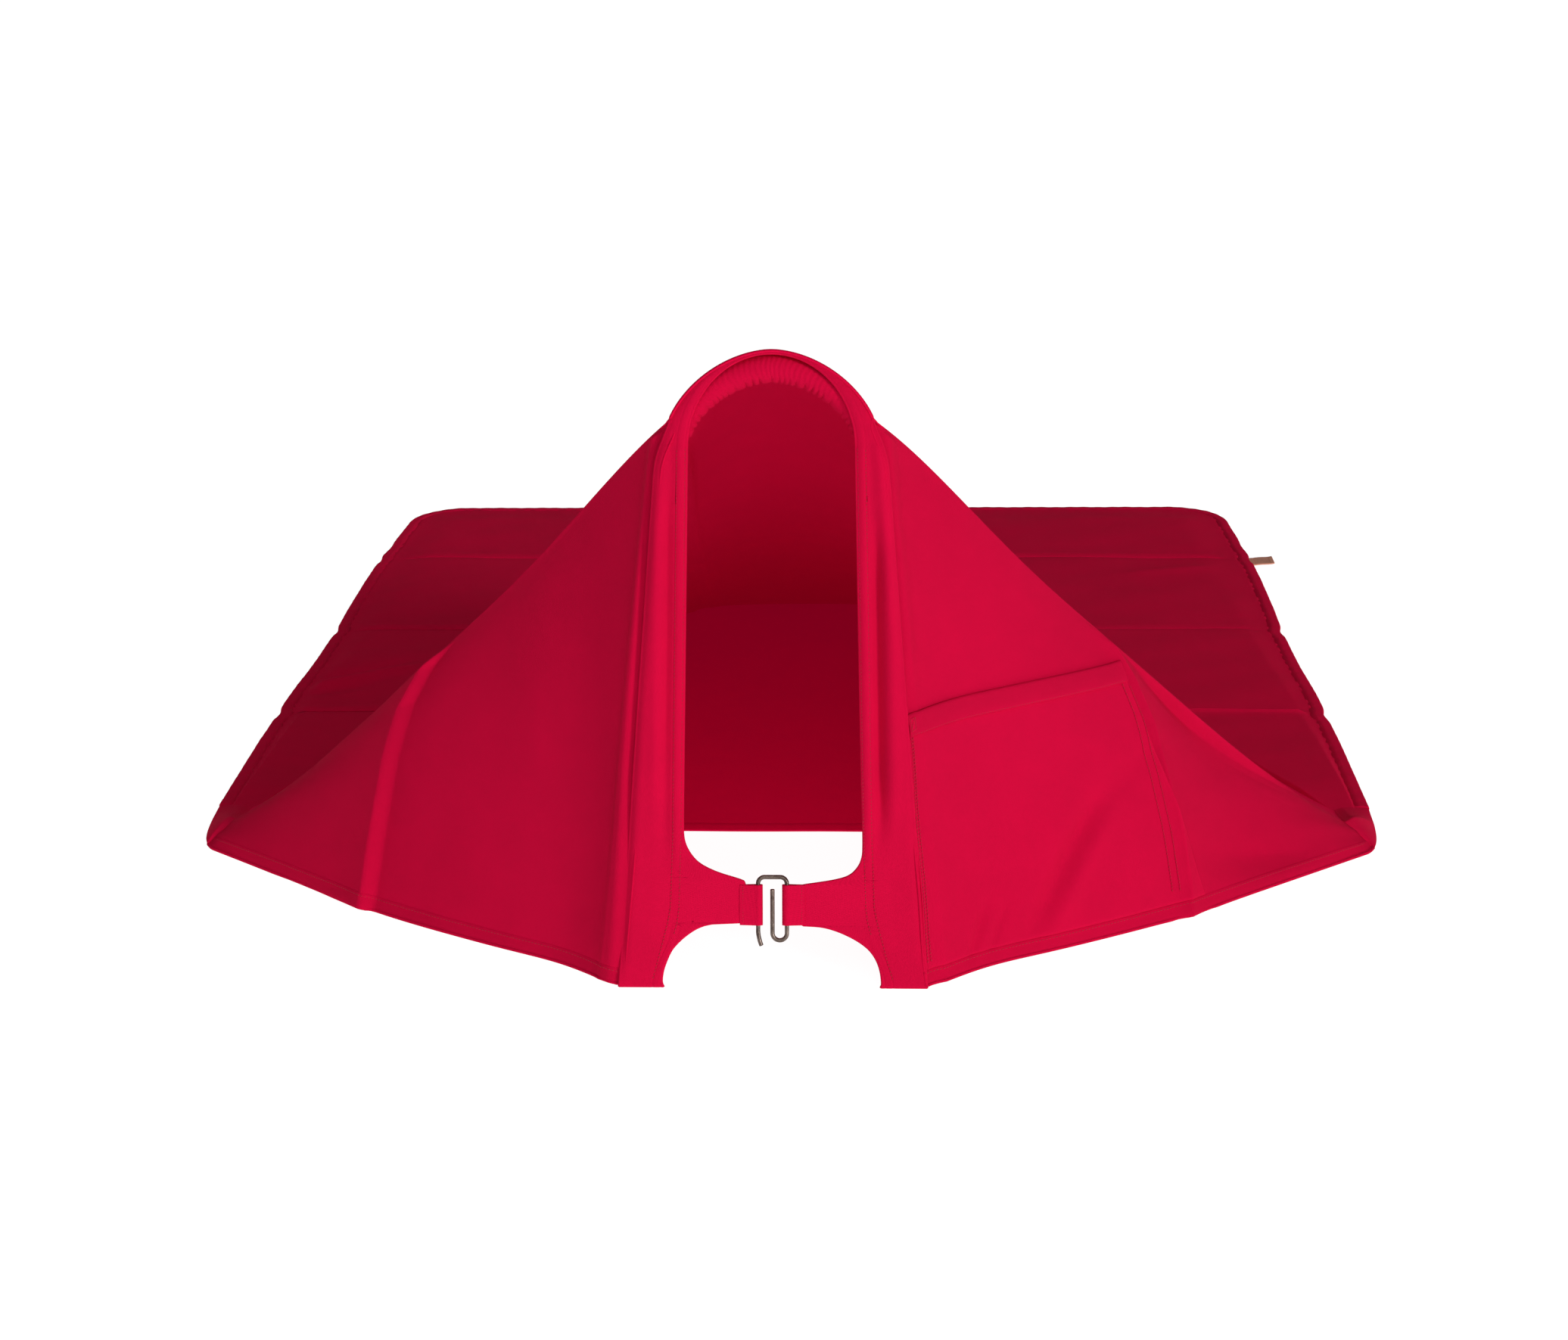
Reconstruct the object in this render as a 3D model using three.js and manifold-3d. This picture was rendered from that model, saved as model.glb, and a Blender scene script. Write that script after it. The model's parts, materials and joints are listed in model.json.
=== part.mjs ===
// A hooded fire blanket: a flat lining, an outer shell that rises to a hood with a tall face opening,
// lapels that reach across the opening as two straps, and a bent-wire clasp that holds the straps.
// Millimetres, +Z up, the face opening looks along -Y. The origin is the middle of the square
// blanket, on the underside of its lining.
import * as THREE from "three";
import { mergeVertices } from "three/addons/utils/BufferGeometryUtils.js";
import { ConvexGeometry } from "three/addons/geometries/ConvexGeometry.js";
import Module from "manifold-3d";

const wasm = await Module();
wasm.setup();

// Driving dimensions.
const BLANKET_WIDTH = 1200;
const BLANKET_LENGTH = 1200;
const PLY = 2; // one layer of blanket cloth
const GAP = 0.3; // between pieces that are sewn or lie together
const HEM_WIDTH = 15;
const HEM_THICK = 5; // the folded tape with both plies in it
const FAR_CORNER_RADIUS = 100;

const LEAN = THREE.MathUtils.degToRad(15); // the face opening leans back
const LAPEL_REACH = 353; // how far the lapels' feet stand in front of the near corners
const EDGE_HALF = 75; // half the opening's width where the arch springs
const EDGE_TAPER = 0.0164; // widening of the half width per millimetre down
const SPRING_RISE = 487; // height of the arch's spring line along the opening
const ARCH_RISE = 83; // from the spring line to the top of the opening's edge
const HOOD_HALF = 97; // half width of the hood's outside at the spring line
const HOOD_POWER = 1.8; // the hood's outline is a little more pointed than an ellipse, which is 2
const HOOD_RISE = 86; // from the spring line to the hood's top
const SHOULDER_RISE = 27.5; // where the hood's side becomes the shoulder, above the spring line
const COLLAR_DEPTH = 24; // the hood's rim, front to back

const LAPEL_WIDTH = 28; // the stitched band beside the opening, at the spring line
const LAPEL_TAPER = 0.075; // widening of the band's outer edge per millimetre down
const LAPEL_THICK = 3;
const SHOULDER_RELIEF = 2.4; // the lapel's outer edge draws in under the shoulder fold
const FOOT_FLARE = 17;
const FOOT_RISE = 60;
const STRAP_TOP = 94.5;
const STRAP_BOTTOM = 57;
const STRAP_SEAM = 28; // the stitched line of each strap's folded end, from the middle

const WIRE_RADIUS = 2;
const WIRE_PLAY = 0.4; // between the wire and the strap's loop
const LEG_X = 13; // each leg of the clasp, from the middle
const CLASP_TOP = 101;
const CORNER_RADIUS = 6;
const HOOK_BOTTOM = 43.4;
const PRONG_TOP = 90;
const TIP_X = -10;
const TIP_BOTTOM = 38.5;
const TIP_BEND_START = 52;

const RIDGE_SAG = 210; // how the shoulder fold sags on its way to the near corner
const RIDGE_BACK = 32; // how far it lies behind a straight line
const HEM_BOW = 30; // how far the panel's foot stands out from a straight line
const PANEL_ROLL = 24; // how far a front panel rolls back under its ridge
const FOLD_LEAN = 0.528; // a front panel's upright folds lean towards the hood
const CREASE_AT = 0.56; // the fold crease on a front panel, as a share of its hem
const CREASE_HEIGHT = 5;
const PANEL_END = 0.957; // where a front panel meets the near corner piece

const FOOT_DEPTH = 795; // where the hood's back slope meets the blanket
const FOOT_HALF = 120; // half the width of that line
const FOOT_POWER = 1.6;
const SLOPE_LEAD = 150; // how long the roof keeps the collar's direction
const SLOPE_TAIL = 0.25; // share of the slope that lies out flat at its foot

const PADDING_INNER = new THREE.Vector2(74, 62.5); // the rim roll's lower edge, half width and rise
const COVER_THICK = 1.5;
const ELASTIC_THICK = 1.6;
const ELASTIC_WIDTH = 6;

const POCKET_FROM = 0.07; // shares of the front panel's hem
const POCKET_TO = 0.53;
const POCKET_GAP = 0.8; // between the pocket and the panel
const POCKET_HEIGHT = 240;
const POCKET_HEM = 20;
const TACK_SIZE = 12;

const TAB_REACH = 25;
const TAB_WIDTH = 30;
const TAB_THICK = 2;
const TAB_AT = 943; // the tab's place along the side, from the near edge

const HALF = BLANKET_WIDTH / 2;
const SHELL_UNDER = PLY + GAP; // the shell lies on the lining
const SHELL_TOP = SHELL_UNDER + PLY;
const CORNER_LENGTH = 70; // the near corner piece, along the side
const CROWN_SHARE = 0.42; // share of the roof's parameter that the hood's arch takes

const { lerp, smoothstep, clamp } = THREE.MathUtils;
const range = (from, to, steps) =>
  Array.from({ length: steps + 1 }, (_, i) => lerp(from, to, i / steps));

const cloth = (color, roughness = 0.9) => new THREE.MeshStandardMaterial({ color, roughness, metalness: 0 });
const shellRed = cloth(0xc4102f);
const trimRed = cloth(0xd0143a, 0.85);
const liningRed = cloth(0xa80a2a, 0.92);
const paddingGrey = cloth(0xd8d4cc, 0.95);
const elasticWhite = cloth(0xe8e4dc, 0.8);
const leatherTan = cloth(0xa86a52, 0.7);
const steel = new THREE.MeshStandardMaterial({ color: 0x6b5a55, roughness: 0.35, metalness: 0.9 });

// ---- The face opening's own plane: x across, y up along it, z out of it towards the front. ----

const openingPlane = new THREE.Group();
openingPlane.position.set(0, -LAPEL_REACH, 0);
openingPlane.rotation.x = Math.PI / 2 - LEAN;
openingPlane.updateMatrix();
const onOpening = (x, rise, out = 0) => new THREE.Vector3(x, rise, out).applyMatrix4(openingPlane.matrix);
const openingFront = new THREE.Vector3(0, 0, 1).transformDirection(openingPlane.matrix);

// Half the opening's width at a height along it: it widens downwards and flares at the feet.
function edgeHalf(rise) {
  const flare = rise < FOOT_RISE ? FOOT_FLARE * Math.cos((Math.PI / 2) * (rise / FOOT_RISE)) ** 2 : 0;
  return EDGE_HALF + EDGE_TAPER * (SPRING_RISE - rise) + flare;
}

// An arch over the spring line; the power is 2 for an ellipse.
function archPoint(half, rise, angle, power = 2) {
  const across = Math.abs(Math.cos(angle)) ** (2 / power) * Math.sign(Math.cos(angle));
  return [half * across, SPRING_RISE + rise * Math.sin(angle) ** (2 / power)];
}
const hoodPoint = (angle) => archPoint(HOOD_HALF, HOOD_RISE, angle, HOOD_POWER);
const SHOULDER_ANGLE = Math.asin((SHOULDER_RISE / HOOD_RISE) ** (HOOD_POWER / 2));
const shoulder = onOpening(...hoodPoint(SHOULDER_ANGLE));

// The outer edge of the band beside the opening. It draws in to the shoulder over the last
// SHOULDER_RISE below the spring line and the same above it.
function bandHalf(rise) {
  const drawnIn = clamp((rise - SPRING_RISE) / SHOULDER_RISE, -1, 1) / 2 + 0.5;
  const straight = EDGE_HALF + LAPEL_WIDTH + LAPEL_TAPER * (SPRING_RISE - rise);
  return lerp(straight, hoodPoint(SHOULDER_ANGLE)[0], drawnIn * smoothstep(drawnIn, 0, 1));
}

// ---- The shell's surfaces, for the right-hand side (x > 0). ----

// The fold that runs from the hood's shoulder (0) down to the near corner (1).
function ridge(q) {
  const left = 1 - q;
  const p = shoulder.clone().lerp(new THREE.Vector3(HALF, 0, 0), q);
  p.y += RIDGE_BACK * left * (1 - left ** 12);
  p.z -= RIDGE_SAG * q * q * left;
  return p;
}

const ridgeShare = (a) => (1 - FOLD_LEAN) * a + FOLD_LEAN * a * a;
// The panel's foot on the ground, from the band to the near corner. It bows outward between them,
// from BOW_RISE of the way to BOW_FALL of it.
const BOW_RISE = new THREE.Vector2(0.05, 0.56);
const BOW_FALL = new THREE.Vector2(0.86, 1);
const nearTip = new THREE.Vector3(HALF, 0, 0);
const bandFoot = onOpening(bandHalf(0) + GAP, 0).setZ(0);
const hemOutward = nearTip.clone().sub(bandFoot).cross(new THREE.Vector3(0, 0, 1)).normalize();
function hemLine(a) {
  const bow = HEM_BOW * smoothstep(a, ...BOW_RISE) * (1 - smoothstep(a, ...BOW_FALL));
  return bandFoot.clone().lerp(nearTip, a).addScaledVector(hemOutward, bow);
}
const panelHeight = (a) => hemLine(a).distanceTo(ridge(ridgeShare(a)));
const panelFront = new THREE.Vector3(HALF, 0, 0)
  .sub(hemLine(0))
  .cross(shoulder.clone().sub(hemLine(0)))
  .normalize();

// A front panel: a runs along its hem from the lapel to the near corner, b up from the hem to the ridge.
function panelPoint(a, b) {
  const q = ridgeShare(a);
  const foot = hemLine(a);
  const p = foot.lerp(ridge(q), b);
  const near = clamp(1 - a / 0.04, 0, 1);
  const edgeX = bandHalf(b * (SPRING_RISE + SHOULDER_RISE)) + GAP;
  p.x += near * (edgeX - p.x);
  const roll = PANEL_ROLL * Math.sqrt(1 - q) * (1 - (1 - q) ** 12);
  const fold = CREASE_HEIGHT * clamp(1 - Math.abs(a - CREASE_AT) / 0.03, 0, 1) * Math.sin(Math.PI * b) ** 0.5;
  return p.addScaledVector(panelFront, roll * (b - b ** 4) + fold);
}

// The line on the blanket where the back slope comes down, c from 0 at the middle to 1 at the corner.
function footShare(c) {
  const inner = FOOT_HALF / HALF;
  return c < CROWN_SHARE ? (inner * c) / CROWN_SHARE : lerp(inner, 1, (c - CROWN_SHARE) / (1 - CROWN_SHARE));
}
function footLine(c) {
  const e = footShare(c);
  return new THREE.Vector3(HALF * e, FOOT_DEPTH * (1 - e ** FOOT_POWER), SHELL_TOP);
}

// The roof: c from 0 at the hood's top through the shoulder at CROWN_SHARE to 1 at the near corner,
// v from the hood's front edge or the ridge (0) to the foot line (1). It keeps the collar's direction
// for the collar's depth, then follows a cubic curve that comes down flat on the blanket.
function roofLine(c) {
  const q = Math.max(0, (c - CROWN_SHARE) / (1 - CROWN_SHARE));
  const angle = lerp(Math.PI / 2, SHOULDER_ANGLE, Math.min(1, c / CROWN_SHARE));
  const start = q > 0 ? ridge(q) : onOpening(...hoodPoint(angle));
  const end = footLine(c);
  const hoodShare = (1 - q) ** 12;
  const along = end.clone().sub(start).setZ(0).normalize();
  along.z = -0.25;
  const lead = openingFront.clone().negate().lerp(along.normalize(), 1 - hoodShare).normalize();
  return { start, end, lead, collar: COLLAR_DEPTH * hoodShare, q };
}
function roofPoint(c, v) {
  const { start, end, lead, collar, q } = roofLine(c);
  const edge = start.clone().addScaledVector(lead, collar);
  const chord = edge.distanceTo(end);
  const run = v * (collar + chord);
  if (run < collar) return start.addScaledVector(lead, run);
  const reach = Math.min(SLOPE_LEAD, (chord * (1 - q)) / 3 + chord / 8);
  const tail = end.clone().lerp(new THREE.Vector3(edge.x, edge.y, end.z), SLOPE_TAIL);
  const curve = new THREE.CubicBezierCurve3(edge, edge.clone().addScaledVector(lead, reach), tail, end);
  return curve.getPoint((run - collar) / chord);
}
const roofLength = (c) => {
  const { start, end, lead, collar } = roofLine(c);
  return collar + start.addScaledVector(lead, collar).distanceTo(end);
};

// The outward direction of a surface, from differences to both sides.
function facing(surface, u, v, step, low = 0, high = 1) {
  const du = surface(Math.min(u + step, high), v).sub(surface(Math.max(u - step, low), v));
  const dv = surface(u, Math.min(v + step, 1)).sub(surface(u, Math.max(v - step, 0)));
  return du.cross(dv).normalize();
}
const roofNormal = (c, v) => {
  const mirrored = (cc, vv) => {
    const p = roofPoint(Math.abs(cc), vv);
    return p.setX(p.x * Math.sign(cc || 1));
  };
  return facing(mirrored, c, v, 0.02, -1);
};
const ridgeNormal = (q) => {
  const a = (Math.sqrt((1 - FOLD_LEAN) ** 2 + 4 * FOLD_LEAN * q) - (1 - FOLD_LEAN)) / (2 * FOLD_LEAN);
  const roof = roofNormal(lerp(CROWN_SHARE, 1, q), 0);
  const shared = facing(panelPoint, a, 1, 0.02).add(roof).normalize();
  return roof.lerp(shared, smoothstep(q, 0, 0.012)).normalize();
};

// Both surfaces lean to one shared direction at the ridge, so their thicknesses meet there.
function panelNormal(a, b) {
  const n = facing(panelPoint, a, b, 0.02);
  n.lerp(openingFront, 1 - smoothstep(a, 0, 0.06));
  n.lerp(ridgeNormal(ridgeShare(a)), smoothstep(b, 0.85, 1));
  const low = smoothstep(b * panelHeight(a), 0, 30);
  return n.setZ(n.z * low).normalize();
}
function slopeNormal(c, v) {
  const q = (c - CROWN_SHARE) / (1 - CROWN_SHARE);
  const n = roofNormal(c, v).lerp(ridgeNormal(q), 1 - smoothstep(v, 0, 0.08));
  return n.lerp(new THREE.Vector3(0, 0, 1), smoothstep(v, 0.85, 1)).normalize();
}
function crownNormal(c, v) {
  const n = roofNormal(c, v);
  return n.lerp(new THREE.Vector3(0, 0, 1), smoothstep(v, 0.85, 1)).normalize();
}

// ---- Solids. ----

// A closed sheet over a grid: point and normal are functions of u and v, and the sheet reaches from
// `proud` above the surface to `under` below it.
function sheetSolid(point, normal, us, vs, proud, under) {
  const positions = [];
  for (const level of [proud, -under])
    for (const u of us) for (const v of vs) positions.push(...point(u, v).addScaledVector(normal(u, v), level));
  const rows = us.length;
  const cols = vs.length;
  const at = (side, i, j) => side * rows * cols + i * cols + j;
  const index = [];
  const quad = (a, b, c, d) => index.push(a, b, c, a, c, d);
  for (let i = 0; i + 1 < rows; i++) {
    for (let j = 0; j + 1 < cols; j++) {
      quad(at(0, i, j), at(0, i + 1, j), at(0, i + 1, j + 1), at(0, i, j + 1));
      quad(at(1, i, j), at(1, i, j + 1), at(1, i + 1, j + 1), at(1, i + 1, j));
    }
    quad(at(0, i + 1, 0), at(0, i, 0), at(1, i, 0), at(1, i + 1, 0));
    quad(at(0, i, cols - 1), at(0, i + 1, cols - 1), at(1, i + 1, cols - 1), at(1, i, cols - 1));
  }
  for (let j = 0; j + 1 < cols; j++) {
    quad(at(0, 0, j), at(0, 0, j + 1), at(1, 0, j + 1), at(1, 0, j));
    quad(at(0, rows - 1, j + 1), at(0, rows - 1, j), at(1, rows - 1, j), at(1, rows - 1, j + 1));
  }
  const geometry = new THREE.BufferGeometry();
  geometry.setAttribute("position", new THREE.Float32BufferAttribute(positions, 3));
  geometry.setIndex(index);
  return geometry;
}

// The mirror image across the blanket's middle, with its faces still outward.
function mirrored(geometry) {
  const copy = (geometry.index ? geometry.toNonIndexed() : geometry.clone()).scale(-1, 1, 1);
  const p = copy.getAttribute("position");
  const corner = new THREE.Vector3();
  const other = new THREE.Vector3();
  for (let i = 0; i < p.count; i += 3) {
    corner.fromBufferAttribute(p, i + 1);
    other.fromBufferAttribute(p, i + 2);
    p.setXYZ(i + 1, ...other);
    p.setXYZ(i + 2, ...corner);
  }
  copy.deleteAttribute("normal");
  copy.deleteAttribute("uv");
  return copy;
}

function toManifold(geometry) {
  const bare = geometry.clone();
  bare.deleteAttribute("normal");
  bare.deleteAttribute("uv");
  const merged = mergeVertices(bare, 1e-4);
  const vertProperties = merged.getAttribute("position").array;
  const triVerts = new Uint32Array(merged.index.array);
  return new wasm.Manifold(new wasm.Mesh({ numProp: 3, vertProperties, triVerts }));
}
function fromManifold(solid) {
  const mesh = solid.getMesh();
  const geometry = new THREE.BufferGeometry();
  geometry.setAttribute("position", new THREE.BufferAttribute(mesh.vertProperties, 3));
  geometry.setIndex(new THREE.BufferAttribute(mesh.triVerts, 1));
  return geometry;
}
const join = (...pieces) => fromManifold(pieces.map(toManifold).reduce((all, next) => all.add(next)));

function outline(points) {
  const shape = new THREE.Shape();
  shape.setFromPoints(points.map(([x, y]) => new THREE.Vector2(x, y)));
  return shape;
}
const slab = (shape, from, to) =>
  new THREE.ExtrudeGeometry(shape, { depth: to - from, bevelEnabled: false, curveSegments: 10 }).translate(0, 0, from);

const blanket = new THREE.Group();
blanket.position.y = -BLANKET_LENGTH / 2;
blanket.add(openingPlane);

function piece(name, geometry, material, parent = blanket) {
  const mesh = new THREE.Mesh(geometry, material);
  mesh.name = name;
  parent.add(mesh);
  return mesh;
}
function pair(name, rightGeometry, material, parent = blanket) {
  piece(`${name}_right`, rightGeometry, material, parent);
  piece(`${name}_left`, mirrored(rightGeometry), material, parent);
}

// ---- The flat plies and their hems. ----

const innerHalf = HALF - HEM_WIDTH - GAP;
const innerFar = BLANKET_LENGTH - HEM_WIDTH - GAP;
const innerRadius = FAR_CORNER_RADIUS - HEM_WIDTH - GAP;
const cornerInner = footLine(lerp(CROWN_SHARE, 1, ridgeShare(PANEL_END))).x - 1;

// The far two corners as arcs, from the right side over to the left, for an outline's points.
function farCorners(half, far, radius) {
  const arc = (side, from, to) =>
    range(from, to, 8).map((t) => [side * (half - radius) + radius * Math.cos(t), far - radius + radius * Math.sin(t)]);
  return [...arc(1, 0, Math.PI / 2), ...arc(-1, Math.PI / 2, Math.PI)];
}

function liningSheet() {
  const near = HEM_WIDTH + GAP;
  const points = [
    [-cornerInner, near],
    [cornerInner, near],
    [cornerInner, CORNER_LENGTH],
    [innerHalf, CORNER_LENGTH],
    ...farCorners(innerHalf, innerFar, innerRadius),
    [-innerHalf, CORNER_LENGTH],
    [-cornerInner, CORNER_LENGTH],
  ];
  return slab(outline(points), 0, PLY);
}

// The shell where it lies on the lining, outside the hood's foot line.
function shellField() {
  const reach = (c) => footLine(c).setZ(0);
  const inner = range(0, 1, 40)
    .map((c) => reach(c))
    .filter((p) => p.y > CORNER_LENGTH)
    .map((p) => [p.x + GAP, p.y + 2 * GAP]);
  const cornerFoot = HALF * (1 - CORNER_LENGTH / FOOT_DEPTH) ** (1 / FOOT_POWER) + 2 * GAP;
  const points = [
    [innerHalf, CORNER_LENGTH],
    ...farCorners(innerHalf, innerFar, innerRadius),
    [-innerHalf, CORNER_LENGTH],
    [-cornerFoot, CORNER_LENGTH],
    ...inner.slice(1).reverse().map(([x, y]) => [-x, y]),
    ...inner,
    [cornerFoot, CORNER_LENGTH],
  ];
  return slab(outline(points), SHELL_UNDER, SHELL_TOP);
}

const sideFrom = CORNER_LENGTH;
const sideTo = BLANKET_LENGTH - FAR_CORNER_RADIUS - GAP;
const sideHem = () =>
  slab(outline([[HALF - HEM_WIDTH, sideFrom], [HALF, sideFrom], [HALF, sideTo], [HALF - HEM_WIDTH, sideTo]]), 0, HEM_THICK);
function farHem() {
  const outer = farCorners(HALF, BLANKET_LENGTH, FAR_CORNER_RADIUS);
  const inner = farCorners(HALF - HEM_WIDTH, BLANKET_LENGTH - HEM_WIDTH, FAR_CORNER_RADIUS - HEM_WIDTH);
  return slab(outline([...outer, ...inner.reverse()]), 0, HEM_THICK);
}
const nearHem = () =>
  slab(outline([[-cornerInner, 0], [cornerInner, 0], [cornerInner, HEM_WIDTH], [-cornerInner, HEM_WIDTH]]), 0, PLY + 1);

// ---- The tent. ----

const panelShares = [0, 0.015, 0.035, 0.07, 0.14, 0.22, 0.3, 0.38, 0.46, 0.53, CREASE_AT, 0.59, 0.66, 0.74, 0.82, 0.89, PANEL_END];
const hemTop = (a) => HEM_WIDTH / panelHeight(a);
const scaled = (low, high) => (a, t) => [a, lerp(low(a), high(a), t)];

function onPanel(low, high, shares, steps, proud, under) {
  const map = scaled(low, high);
  const point = (a, t) => panelPoint(...map(a, t));
  const normal = (a, t) => panelNormal(...map(a, t));
  return sheetSolid(point, normal, shares, steps, proud, under);
}
const frontPanel = () =>
  onPanel(
    (a) => hemTop(a) + GAP / panelHeight(a),
    (a) => 1 - (GAP + SHOULDER_RELIEF * (1 - smoothstep(a, 0, 0.04))) / panelHeight(a),
    panelShares,
    [0, 0.15, 0.3, 0.45, 0.6, 0.72, 0.82, 0.9, 0.96, 1],
    0,
    PLY,
  );
const frontHem = () => onPanel(() => 0, hemTop, panelShares, [0, 1], 0.5, PLY + 0.5);

const SEAM_SHARE = 0.0004; // keeps the crown and the slopes just apart
const cornerShare = lerp(CROWN_SHARE, 1, ridgeShare(PANEL_END));
const slopeShares = panelShares.map((a) => lerp(CROWN_SHARE + SEAM_SHARE, 1, ridgeShare(a)));
const collarShare = COLLAR_DEPTH / roofLength(CROWN_SHARE);
const downSlope = [0, 0.04, 0.1, 0.18, 0.27, 0.36, 0.45, 0.55, 0.65, 0.76, 0.88, 1];
const roofSteps = [0, collarShare / 2, ...downSlope.map((t) => lerp(collarShare, 1, t))];
const slope = () =>
  sheetSolid(
    (c, t) => roofPoint(c, lerp(GAP / roofLength(c), 1, t)),
    (c, t) => slopeNormal(c, lerp(GAP / roofLength(c), 1, t)),
    slopeShares,
    roofSteps,
    0,
    PLY,
  );

const crownShares = range(-CROWN_SHARE + SEAM_SHARE, CROWN_SHARE - SEAM_SHARE, 20);
function overHood(low, high, steps) {
  const at = (c, t) => [Math.abs(c), lerp(low, high, t) / roofLength(Math.abs(c))];
  const side = (p, c) => p.setX(p.x * Math.sign(c || 1));
  const point = (c, t) => side(roofPoint(...at(c, t)), c);
  const normal = (c, t) => side(crownNormal(...at(c, t)), c);
  return sheetSolid(point, normal, crownShares, steps, 0, PLY);
}
const collar = () => overHood(LAPEL_THICK + GAP, COLLAR_DEPTH, [0, 0.5, 1]);
function crown() {
  const start = (c) => (COLLAR_DEPTH + GAP) / roofLength(Math.abs(c));
  const side = (p, c) => p.setX(p.x * Math.sign(c || 1));
  const point = (c, t) => side(roofPoint(Math.abs(c), lerp(start(c), 1, t)), c);
  const normal = (c, t) => side(crownNormal(Math.abs(c), lerp(start(c), 1, t)), c);
  return sheetSolid(point, normal, crownShares, downSlope, 0, PLY);
}

// The stitched-up cloth at each near corner, from the panel's and the roof's ends to the corner.
function nearCorner() {
  const foot = hemLine(PANEL_END);
  const peak = ridge(ridgeShare(PANEL_END));
  const back = footLine(cornerShare);
  const away = foot.clone().sub(peak).cross(back.clone().sub(peak)).normalize();
  if (away.x < 0) away.negate();
  const ends = [foot, peak, back].map((p) => p.clone().addScaledVector(away, 2 * GAP));
  const tip = new THREE.Vector3(HALF - 4, -2, 0);
  const points = [
    ...ends,
    ends[2].clone().setZ(0).add(new THREE.Vector3(PLY, 0, 0)),
    tip,
    tip.clone().setZ(HEM_THICK - 1),
    new THREE.Vector3(HALF, 6, 0),
    new THREE.Vector3(HALF, 6, HEM_THICK - 1),
    new THREE.Vector3(HALF, CORNER_LENGTH - GAP, 0),
    new THREE.Vector3(HALF, CORNER_LENGTH - GAP, HEM_THICK - 1),
    new THREE.Vector3(ends[2].x + PLY, CORNER_LENGTH - GAP, 0),
    new THREE.Vector3(ends[2].x + PLY, CORNER_LENGTH - GAP, SHELL_TOP),
  ];
  return new ConvexGeometry(points);
}

// ---- The hood's rim. ----

// The face of the hood's edge over the arch, from the opening's edge out to the hood's outside.
function archBand() {
  const outerOf = (t) => hoodPoint(lerp(SHOULDER_ANGLE, Math.PI - SHOULDER_ANGLE, t));
  const innerAngle = Math.asin(SHOULDER_RISE / ARCH_RISE);
  const innerOf = (t) => archPoint(EDGE_HALF, ARCH_RISE, lerp(innerAngle, Math.PI - innerAngle, t));
  const steps = range(0, 1, 28);
  return slab(outline([...steps.map(outerOf), ...steps.map(innerOf).reverse()]), -LAPEL_THICK, 0);
}

// The rim roll's centre line and radius, by angle from the right-hand spring point.
const rollOuter = new THREE.Vector2(HOOD_HALF, HOOD_RISE).subScalar(PLY + 2 * GAP);
const rollRadius = (angle) =>
  lerp(rollOuter.x - PADDING_INNER.x, rollOuter.y - PADDING_INNER.y, Math.sin(angle)) / 2 - 0.7 * Math.cos(angle) ** 2;
const rollMiddle = rollOuter.clone().add(PADDING_INNER).divideScalar(2);
function rollPoint(angle, around, radius, shift = 0) {
  const [x, rise] = archPoint(rollMiddle.x, rollMiddle.y, angle, HOOD_POWER);
  const out = radius * Math.cos(around) + shift;
  const depth = -LAPEL_THICK - GAP - rollRadius(angle);
  return new THREE.Vector3(x + out * Math.cos(angle), rise + out * Math.sin(angle), depth + radius * Math.sin(around));
}

// A ring section carried over the arch; sections is a list of closed outlines as functions of angle.
function overArch(section, from, to, steps) {
  const angles = range(from, to, steps);
  const rings = angles.map(section);
  const count = rings[0].length;
  const positions = rings.flat().flatMap((p) => [...p]);
  const at = (i, j) => i * count + (j % count);
  const index = [];
  for (let i = 0; i + 1 < rings.length; i++)
    for (let j = 0; j < count; j++)
      index.push(at(i, j), at(i + 1, j + 1), at(i, j + 1), at(i, j), at(i + 1, j), at(i + 1, j + 1));
  const flat = THREE.ShapeUtils.triangulateShape(sectionOutline(rings[0]), []);
  for (const [a, b, c] of flat) index.push(at(0, a), at(0, b), at(0, c));
  const last = rings.length - 1;
  for (const [a, b, c] of flat) index.push(at(last, a), at(last, c), at(last, b));
  const geometry = new THREE.BufferGeometry();
  geometry.setAttribute("position", new THREE.Float32BufferAttribute(positions, 3));
  geometry.setIndex(index);
  return geometry;
}
// The first section seen flat, outwards and forwards, for its end cap.
function sectionOutline(ring) {
  const centre = ring.reduce((sum, p) => sum.add(p), new THREE.Vector3()).divideScalar(ring.length);
  return ring.map((p) => new THREE.Vector2(Math.sign(p.x - centre.x) * Math.hypot(p.x - centre.x, p.y - centre.y), p.z));
}

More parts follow.
